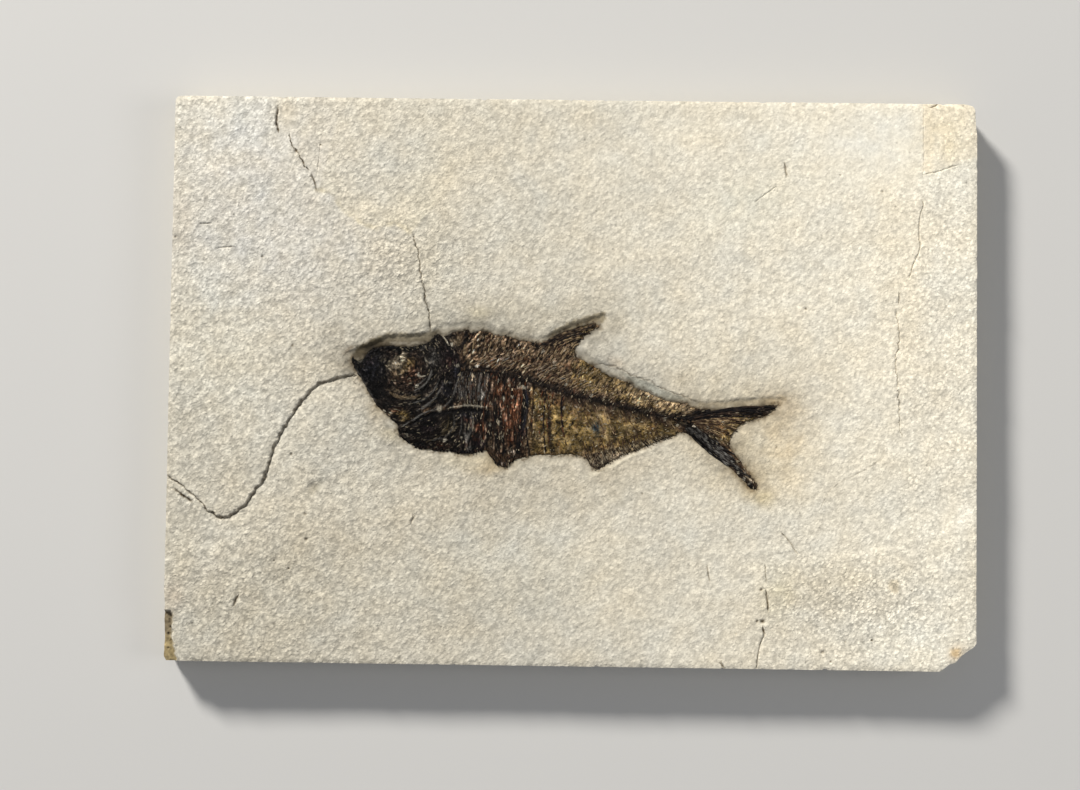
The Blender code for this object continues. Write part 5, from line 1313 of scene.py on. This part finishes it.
def barTree():
    # tapered bars from a first guide line to a second, evenly spaced with a little disorder
    tree, given, out = newShapeTree("bonesBetweenLines", [
        ("Count", "NodeSocketInt", 20), ("Thickness", "NodeSocketFloat", 0.0003),
        ("Flatness", "NodeSocketFloat", 0.6), ("Taper", "NodeSocketFloat", 0.4),
        ("Bow", "NodeSocketVector", None), ("Disorder", "NodeSocketFloat", 0.3),
        ("Wobble", "NodeSocketFloat", 0.0001), ("Seed", "NodeSocketInt", 1),
        ("Material", "NodeSocketMaterial", None)])
    index = addNode(tree, "GeometryNodeInputIndex").outputs[0]
    shift = maths(tree, "MULTIPLY", randomAt(tree, -0.5, 0.5, given["Seed"]), given["Disorder"])
    step = maths(tree, "ADD", maths(tree, "ADD", index, 0.5), shift)
    share = maths(tree, "DIVIDE", step, given["Count"], clamp=True)
    sampling = {"mode": "FACTOR", "use_all_curves": False}
    first, second = [
        addNode(tree, "GeometryNodeSampleCurve", sampling, Curves=given["Geometry"], Factor=share,
                Curve_Index=number).outputs["Position"] for number in (0, 1)]
    points = addNode(tree, "GeometryNodePoints", None, Count=given["Count"], Position=first).outputs[0]
    span = vectorMaths(tree, "SUBTRACT", second, _1=first)
    length = addNode(tree, "ShaderNodeVectorMath", {"operation": "LENGTH"}, _0=span).outputs["Value"]
    length = maths(tree, "MULTIPLY", length, randomAt(tree, 0.6, 1.04, given["Seed"], 3.0))
    turn = addNode(tree, "FunctionNodeAlignRotationToVector", {"axis": "Z"}, Vector=span).outputs[0]
    wide = maths(tree, "MULTIPLY", given["Thickness"], randomAt(tree, 0.7, 1.35, given["Seed"], 5.0))

    line = addNode(tree, "GeometryNodeCurvePrimitiveLine").outputs[0]
    line = addNode(tree, "GeometryNodeResampleCurve", None, Curve=line, Count=22).outputs[0]
    along = addNode(tree, "GeometryNodeSplineParameter").outputs["Factor"]
    line = storeLayer(tree, line, "POINT", "along", along)
    thin = maths(tree, "MULTIPLY", along, maths(tree, "SUBTRACT", 1.0, given["Taper"]))
    thin = maths(tree, "SUBTRACT", 1.0, thin)
    line = addNode(tree, "GeometryNodeSetCurveRadius", None, Curve=line, Radius=thin).outputs[0]
    ring = addNode(tree, "GeometryNodeCurvePrimitiveCircle", None, Resolution=6, Radius=1.0).outputs[0]
    bar = addNode(tree, "GeometryNodeCurveToMesh", None, Curve=line, Profile_Curve=ring, Fill_Caps=True)
    placed = placeAll(tree, points, bar.outputs[0], turn, joined(tree, wide, wide, length))
    placed = storeLayer(tree, placed, "INSTANCE", "bar", index)
    whole = addNode(tree, "GeometryNodeRealizeInstances", None, Geometry=placed).outputs[0]

    # each bar is bowed by an amount of its own, wobbles a little and is pressed flat
    share, number = namedLayer(tree, "along"), namedLayer(tree, "bar")
    hump = maths(tree, "SINE", maths(tree, "MULTIPLY", share, math.pi))
    unlike = maths(tree, "MULTIPLY", maths(tree, "SINE", maths(tree, "MULTIPLY", number, 2.4)), 0.5)
    unlike = maths(tree, "ADD", 1.0, unlike)
    bend = vectorMaths(tree, "SCALE", given["Bow"], Scale=maths(tree, "MULTIPLY", hump, unlike))
    here = addNode(tree, "GeometryNodeInputPosition").outputs[0]
    swing = addNode(tree, "ShaderNodeTexNoise", {"noise_dimensions": "4D"}, Vector=here, W=number,
                    Scale=420.0).outputs["Color"]
    swing = vectorMaths(tree, "SUBTRACT", swing, _1=(0.5, 0.5, 0.5))
    move = vectorMaths(tree, "ADD", bend, _1=vectorMaths(tree, "SCALE", swing, Scale=given["Wobble"]))
    bent = addNode(tree, "GeometryNodeSetPosition", None, Geometry=whole, Offset=move).outputs[0]
    pressed = vectorMaths(tree, "MULTIPLY", here, _1=joined(tree, 1.0, 1.0, given["Flatness"]))
    bent = addNode(tree, "GeometryNodeSetPosition", None, Geometry=bent, Position=pressed).outputs[0]
    return closeTree(tree, bent, given["Material"], out)


def guideLines(routes):
    curve = bpy.data.curves.new("guide", "CURVE")
    curve.dimensions = "3D"
    for route in routes:
        spline = curve.splines.new("POLY")
        spline.points.add(len(route) - 1)
        for point, (x, y) in zip(spline.points, route):
            point.co = (x * mm, y * mm, 0.0, 1.0)
    return link("guide", curve)


def madeByNodes(name, source, tree, values):
    # runs a tree on an object and keeps its result as a plain mesh
    modifier = source.modifiers.new("nodes", "NODES")
    modifier.node_group = tree
    for item in tree.interface.items_tree:
        if item.in_out == "INPUT" and item.name in values:
            modifier[item.identifier] = values[item.name]
    source.update_tag()
    bpy.context.view_layer.update()
    graph = bpy.context.evaluated_depsgraph_get()
    mesh = bpy.data.meshes.new_from_object(source.evaluated_get(graph), depsgraph=graph)
    mesh.name = name
    source.modifiers.remove(modifier)
    return link(name, mesh)


def readLayer(mesh, name, kind="value", width=1):
    layer = mesh.attributes[name].data
    values = np.zeros(len(layer) * width)
    layer.foreach_get(kind, values)
    return values if width == 1 else values.reshape(-1, width)


def readPoints(mesh):
    points = np.zeros(len(mesh.vertices) * 3)
    mesh.vertices.foreach_get("co", points)
    return points.reshape(-1, 3) / mm


def movePoints(mesh, points):
    # puts a mesh's points in place, none of them above the solid's own height
    points[:, 2] = np.minimum(points[:, 2], fish["highest"] + 0.01)
    mesh.vertices.foreach_set("co", (points * mm).ravel())
    mesh.update()


def settle(piece, lift):
    # lays a flat piece on the fish, a little above it
    points = readPoints(piece.data)
    x, y = points[:, 0], points[:, 1]
    points[:, 2] = points[:, 2] + domeHeight(x, y, insideDistance(x, y, fishOutline)) + lift
    movePoints(piece.data, points)
    return x, y


bars = barTree()
# rows of bones: name, the line they start on, the line they end on, settings
boneSets = [
    ("ribs", [(-33, 3.0), (-25, 2.2), (-18, 0.0), (-12, -2.0), (-5, -4.2), (-1, -5.2)], [(-36, -24),
     (-30, -27.5), (-22, -28), (-14, -27.5), (-6, -27.5), (0, -25)], {"Count": 17, "Thickness": 0.3,
     "Taper": 0.5, "Bow": (-1.2, 0, 0), "Disorder": 1.2, "lift": -0.02,
     "tones": ("black", "umber", "rust")}),
    ("behindGill", [(-44, 2.5), (-39, 3.2), (-34, 2.8), (-31, 2.4)], [(-45.5, -9.3), (-40, -9.4),
     (-36, -9.2), (-31.5, -9.0)], {"Count": 15, "Thickness": 0.24, "Taper": 0.6, "Bow": (-0.5, 0, 0),
     "Disorder": 1.1, "lift": 0.0, "tones": ("soot", "grey", "umber")}),
    ("neuralSpines", [(-40, 4.6), (-25, 3.6), (-12, -0.8), (0, -4.2), (10, -6.8), (20, -9.0),
     (30, -11.4), (41, -13.4)], [(-33, 13.5), (-18, 12), (-5, 9), (6, 4.6), (16, 0.2), (26, -3.4),
     (36, -6.8), (45, -9.2)], {"Count": 38, "Thickness": 0.24, "Taper": 0.35, "Bow": (0.4, -0.5, 0),
     "Disorder": 0.8, "lift": -0.02, "tones": ("umber", "brown", "tan")}),
    ("finSupports", [(-39, 10), (-30, 10.5), (-20, 9.5), (-10, 9), (-2, 7.0)], [(-38, 18.6), (-28, 17.4),
     (-18, 15.4), (-8, 15.2), (1.5, 12.5)], {"Count": 26, "Thickness": 0.26, "Taper": 0.6,
     "Bow": (0.3, 0, 0), "Disorder": 0.9, "lift": 0.02, "tones": ("soot", "brown", "tan")}),
    ("backBones", [(-38, 6), (-26, 5.5), (-14, 2.5), (-4, -1.5), (6, -4.5), (16, -7)], [(-31, 9.6),
     (-19, 9.2), (-7, 6.4), (3, 2.2), (13, -1.2), (23, -4)], {"Count": 40, "Thickness": 0.2,
     "Taper": 0.4, "Bow": (0.2, 0.3, 0), "Disorder": 1.0, "lift": 0.06,
     "tones": ("umber", "tan", "grey")}),
    ("haemalSpines", [(-2, -5.6), (8, -8.0), (18, -10.2), (28, -12.6), (38, -14.6), (43, -16)],
     [(5, -18), (14, -22), (23, -21.5), (32, -19.5), (40, -18.5), (45.5, -19.2)], {"Count": 22,
     "Thickness": 0.24, "Taper": 0.35, "Bow": (-0.5, 0.2, 0), "Disorder": 0.8, "lift": -0.02,
     "tones": ("umber", "brown", "tan")}),
    ("analSupports", [(4, -23.5), (12, -23.5), (22, -20.5), (33, -18.5)], [(5, -28.5), (11, -28.2),
     (21, -24.6), (34, -21.2)], {"Count": 24, "Thickness": 0.24, "Taper": 0.6, "Bow": (0.1, 0, 0),
     "Disorder": 0.6, "lift": 0.0, "tones": ("umber", "brown", "umber")}),
    ("analRays", [(5.0, -28.0), (10, -27.6), (18, -25.4), (26, -22.8), (37, -20.6)], [(8.0, -33.8),
     (11.4, -34.6), (20, -28.8), (28, -25.6), (39.5, -21.4)], {"Count": 32, "Thickness": 0.19,
     "Taper": 0.5, "Bow": (-0.15, 0, 0), "Disorder": 0.5, "lift": 0.12,
     "tones": ("soot", "umber", "stone")}),
    ("dorsalRays", [(-13, 13.6), (-9, 14.0), (-5, 13.6), (0, 11.8)], [(7.5, 22.6), (9.6, 21.4),
     (7.5, 19.2), (2.6, 15.0)], {"Count": 16, "Thickness": 0.3, "Taper": 0.4, "Bow": (-0.2, 0.7, 0),
     "Disorder": 0.5, "lift": 0.06, "tones": ("soot", "umber", "tan")}),
    ("pelvicRays", [(-31.5, -28.2), (-28, -28.0), (-23.5, -27.8), (-20.5, -28.4)], [(-29.2, -32.0),
     (-27.0, -33.6), (-24.2, -33.4), (-20.8, -30.6)], {"Count": 12, "Thickness": 0.28, "Taper": 0.6,
     "Bow": (0.1, 0, 0), "Disorder": 0.5, "lift": 0.1, "tones": ("black", "brown", "soot")}),
    ("upperTailRays", [(44, -14.2), (45, -14.4), (46, -14.8)], [(79.5, -8.0), (76.5, -10.4),
     (70, -13.0)], {"Count": 11, "Thickness": 0.27, "Taper": 0.5, "Bow": (0.0, 1.5, 0), "Disorder": 0.4,
     "lift": 0.1, "tones": ("black", "soot", "umber")}),
    ("middleTailRays", [(46, -15.0), (47, -15.6), (47.6, -16.4), (48, -17.0)], [(70, -13.6),
     (65.6, -15.8), (61.6, -20.5), (60.8, -24)], {"Count": 17, "Thickness": 0.22, "Taper": 0.6,
     "Bow": (0.0, 0.8, 0), "Disorder": 0.5, "lift": 0.08, "tones": ("umber", "brown", "tan")}),
    ("lowerTailRays", [(43.5, -17.6), (45, -17.4), (46.5, -17.4), (48, -17.2)], [(70.2, -40.4),
     (68.5, -36.5), (65, -31.5), (61.6, -26)], {"Count": 19, "Thickness": 0.27, "Taper": 0.6,
     "Bow": (-0.6, -0.7, 0), "Disorder": 0.4, "lift": 0.12, "tones": ("black", "soot", "grey")}),
    ("bellyScutes", [(-60, -25.2), (-50, -26.4), (-40, -27.2), (-34, -26.4)], [(-60.6, -26.6),
     (-50, -27.8), (-40, -28.8), (-33.4, -27.8)], {"Count": 22, "Thickness": 0.45, "Taper": 0.5,
     "Bow": (0.1, 0, 0), "Disorder": 0.4, "lift": 0.02, "tones": ("black", "soot", "umber")}),
]


def makeBones(name, first, second, settings, material):
    guide = guideLines([first, second])
    count = settings["Count"]
    values = {"Count": count, "Thickness": settings["Thickness"] * mm, "Flatness": 0.5,
              "Taper": settings["Taper"], "Bow": [n * mm for n in settings["Bow"]],
              "Disorder": settings["Disorder"], "Wobble": 1.1 * mm, "Seed": len(name) * 7 + count,
              "Material": material}
    piece = madeByNodes(name, guide, bars, values)
    bpy.data.objects.remove(guide)
    piece.data.shade_smooth()
    x, y = settle(piece, settings["lift"])
    along, bar = readLayer(piece.data, "along"), readLayer(piece.data, "bar").round().astype(int)
    dark, middle, light = [linear(*pigment[tone]) for tone in settings["tones"]]
    chance = np.random.default_rng(count).uniform(0.0, 1.0, count + 1)[bar]
    share = np.clip(0.42 + 0.34 * lumps(x, y, 1.5, 301, 2) + 0.9 * (chance - 0.5), 0.0, 1.0)[:, None]
    colour = dark * np.clip(1 - 2 * share, 0, 1) + light * np.clip(2 * share - 1, 0, 1)
    colour = colour + middle * (1 - np.abs(2 * share - 1))
    paint(piece, "tone", colour * ((0.85 + 0.3 * along) * liftAt(x, y) ** 1.5)[:, None])
    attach(piece, "root")


boneGloss = fossilFinish("boneStrips", 0.36, 2200.0)
for name, first, second, settings in boneSets:
    makeBones(name, first, second, settings, boneGloss)
print("bone sets", len(boneSets))


backbone = {
    "spacing": 2.3, "length": 0.95, "width": 0.85, "height": 0.42, "seed": 4, "waist": 0.68, "flare": 1.1,
}


def vertebraTree():
    # round bodies with a waist, threaded along a line
    tree, given, out = newShapeTree("vertebraeAlongLine", [
        ("Spacing", "NodeSocketFloat", 0.0023), ("Size", "NodeSocketVector", None),
        ("Seed", "NodeSocketInt", 4), ("Material", "NodeSocketMaterial", None)])
    threaded = addNode(tree, "GeometryNodeCurveToPoints", {"mode": "LENGTH"}, Curve=given["Geometry"],
                       Length=given["Spacing"]).outputs
    turn = addNode(tree, "FunctionNodeAlignRotationToVector", {"axis": "X"}, Vector=threaded["Tangent"])
    body = addNode(tree, "GeometryNodeMeshUVSphere", None, Segments=10, Rings=7, Radius=1.0).outputs[0]
    place = addNode(tree, "GeometryNodeInputPosition").outputs[0]
    along = addNode(tree, "ShaderNodeSeparateXYZ", None, Vector=place).outputs[0]
    waist = maths(tree, "MULTIPLY", maths(tree, "MULTIPLY", along, along), backbone["flare"])
    waist = maths(tree, "ADD", backbone["waist"], waist)
    shaped = vectorMaths(tree, "MULTIPLY", place, _1=joined(tree, 1.0, waist, waist))
    body = addNode(tree, "GeometryNodeSetPosition", None, Geometry=body, Position=shaped).outputs[0]
    grown = vectorMaths(tree, "SCALE", given["Size"], Scale=randomAt(tree, 0.82, 1.12, given["Seed"]))
    placed = placeAll(tree, threaded[0], body, turn.outputs[0], grown)
    return closeTree(tree, placed, given["Material"], out)


def makeBackbone(material):
    guide = guideLines([roundPath(spineLine)])
    values = {"Spacing": backbone["spacing"] * mm, "Seed": backbone["seed"], "Material": material,
              "Size": [backbone[side] * mm for side in ("length", "width", "height")]}
    piece = madeByNodes("vertebrae", guide, vertebraTree(), values)
    bpy.data.objects.remove(guide)
    piece.data.shade_smooth()
    x, y = settle(piece, 0.0)
    share = smooth(-1.2, 1.6, lumps(x, y, 1.1, 311, 2))[:, None]
    paint(piece, "tone", linear(*pigment["black"]) * (1 - share) + linear(*pigment["brown"]) * share)
    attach(piece, "root")


makeBackbone(boneGloss)
print("backbone ready")


slivers = {
    "density": 2.3, "length": 0.62, "width": 0.15, "tilt": 0.16, "seed": 8,
    "darkShare": 0.42, "paleShare": 0.085, "brightest": 1.75,
}
# parts where the splinters lie at an angle of their own, in degrees
finAngles = [((54, -14, 40, 7, 10), 12.0), ((58, -29, 16, 5, -44), -44.0), ((2, 19, 13, 4, 28), 30.0),
             ((20, -28, 20, 5, 22), 75.0)]


def lieAngle(x, y):
    # the way the splinters lie, in radians
    spineY = spineAt(x)
    loose = lumps(x, y, 2.5, 401, 2)
    angle = np.where(y > spineY - 0.5, math.radians(50.0) + 0.22 * loose, math.radians(86.0) + 0.14 * loose)
    golden = (x > -16.0) & (y < spineY - 1.5) & (x < 42.0)
    angle = np.where(golden, 1.6 * loose, angle)
    ringed = np.arctan2(y - 5.0, x + 65.0) + 0.5 * math.pi + 0.25 * loose
    angle = np.where(x < -43.0, ringed, angle)
    for spot, degrees in finAngles:
        angle = np.where(blob(x, y, spot) > 0.25, math.radians(degrees) + 0.12 * loose, angle)
    return angle


def sliverTree():
    # thin pointed splinters strewn over a mesh's upper side, turned the way its "lie" layer says
    tree, given, out = newShapeTree("splintersOnSurface", [
        ("Density", "NodeSocketFloat", 400000.0), ("Length", "NodeSocketFloat", 0.0006),
        ("Width", "NodeSocketFloat", 0.0002), ("Tilt", "NodeSocketFloat", 0.2),
        ("Seed", "NodeSocketInt", 8), ("Material", "NodeSocketMaterial", None)])
    seed = given["Seed"]
    facing = addNode(tree, "GeometryNodeInputNormal").outputs[0]
    upward = addNode(tree, "ShaderNodeSeparateXYZ", None, Vector=facing).outputs[2]
    strewn = addNode(tree, "GeometryNodeDistributePointsOnFaces", {"distribute_method": "RANDOM"},
                     Mesh=given["Geometry"], Selection=maths(tree, "GREATER_THAN", upward, 0.75),
                     Density=given["Density"], Seed=seed).outputs[0]
    turn = maths(tree, "ADD", namedLayer(tree, "lie"), randomAt(tree, -0.28, 0.28, seed))
    leanX = maths(tree, "MULTIPLY", given["Tilt"], randomAt(tree, -1.0, 1.0, seed, 2.0))
    leanY = maths(tree, "MULTIPLY", given["Tilt"], randomAt(tree, -1.0, 1.0, seed, 3.0))
    pose = joined(tree, leanX, leanY, turn)
    pose = addNode(tree, "FunctionNodeEulerToRotation", None, Euler=pose).outputs[0]
    chip = addNode(tree, "GeometryNodeMeshCylinder", None, Vertices=5, Radius=1.0, Depth=1.0).outputs[0]
    long = maths(tree, "MULTIPLY", given["Length"], randomAt(tree, 0.45, 1.6, seed, 4.0))
    wide = maths(tree, "MULTIPLY", given["Width"], randomAt(tree, 0.6, 1.5, seed, 6.0))
    placed = placeAll(tree, strewn, chip, pose, joined(tree, long, wide, wide))
    placed = storeLayer(tree, placed, "INSTANCE", "chip", addNode(tree, "GeometryNodeInputIndex").outputs[0])
    return closeTree(tree, placed, given["Material"], out)


def makeSlivers(ground, material):
    corners = readPoints(ground.data)
    paint(ground, "lie", lieAngle(corners[:, 0], corners[:, 1]))
    values = {"Density": slivers["density"] / mm ** 2, "Length": slivers["length"] * mm,
              "Width": slivers["width"] * mm, "Tilt": slivers["tilt"], "Seed": slivers["seed"],
              "Material": material}
    piece = madeByNodes("splinters", ground, sliverTree(), values)
    ground.data.attributes.remove(ground.data.attributes["lie"])
    number = readLayer(piece.data, "chip").round().astype(int)
    colour = readLayer(piece.data, "tone", "color", 4)[:, :3]
    points = readPoints(piece.data)
    movePoints(piece.data, points)
    x, y = points[:, 0], points[:, 1]

    # each splinter is darker, brighter or greyer than the bone under it, and a few are bare stone
    draws = [np.random.default_rng(seed).uniform(0.0, 1.0, number.max() + 1) for seed in (9, 10, 12)]
    chance, shade, greyness = [draw[number][:, None] for draw in draws]
    flank = 0.72 * smooth(-20.0, -12.0, x) * smooth(1.0, -2.0, y - spineAt(x))
    calm = np.maximum(flank, 0.85 * smooth(-70.0, -73.0, x))
    calm = np.maximum(calm, 0.7 * blob(x, y, (-67, 6, 6, 5, 0)))[:, None]
    # the brighter splinters stand in partly as painted glints of the glossy bone
    lit = np.where(chance < slivers["darkShare"], 0.22 + 0.45 * shade, 0.85 + 1.35 * shade)
    lit = np.minimum(lit * (1 - calm) + calm, slivers["brightest"])
    colour = dulled(colour * lit, 0.35 * greyness, (1.05, 1.0, 0.90))
    towardsSnout = 1 - 0.4 * smooth(-40.0, -50.0, x) - 0.5 * smooth(-66.0, -73.0, x)
    bare = linear(*pigment["stone"]) * (0.25 + 0.85 * shade) * towardsSnout[:, None]
    colour = np.where(chance > 1 - slivers["paleShare"], bare, colour)
    for layer in ("tone", "lie"):
        if layer in piece.data.attributes:
            piece.data.attributes.remove(piece.data.attributes[layer])
    paint(piece, "tone", np.clip(colour, 0.003, 0.6))
    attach(piece, "root")
    return piece


chips = makeSlivers(fossil, boneGloss)
print("splinters", len(chips.data.polygons), "faces")
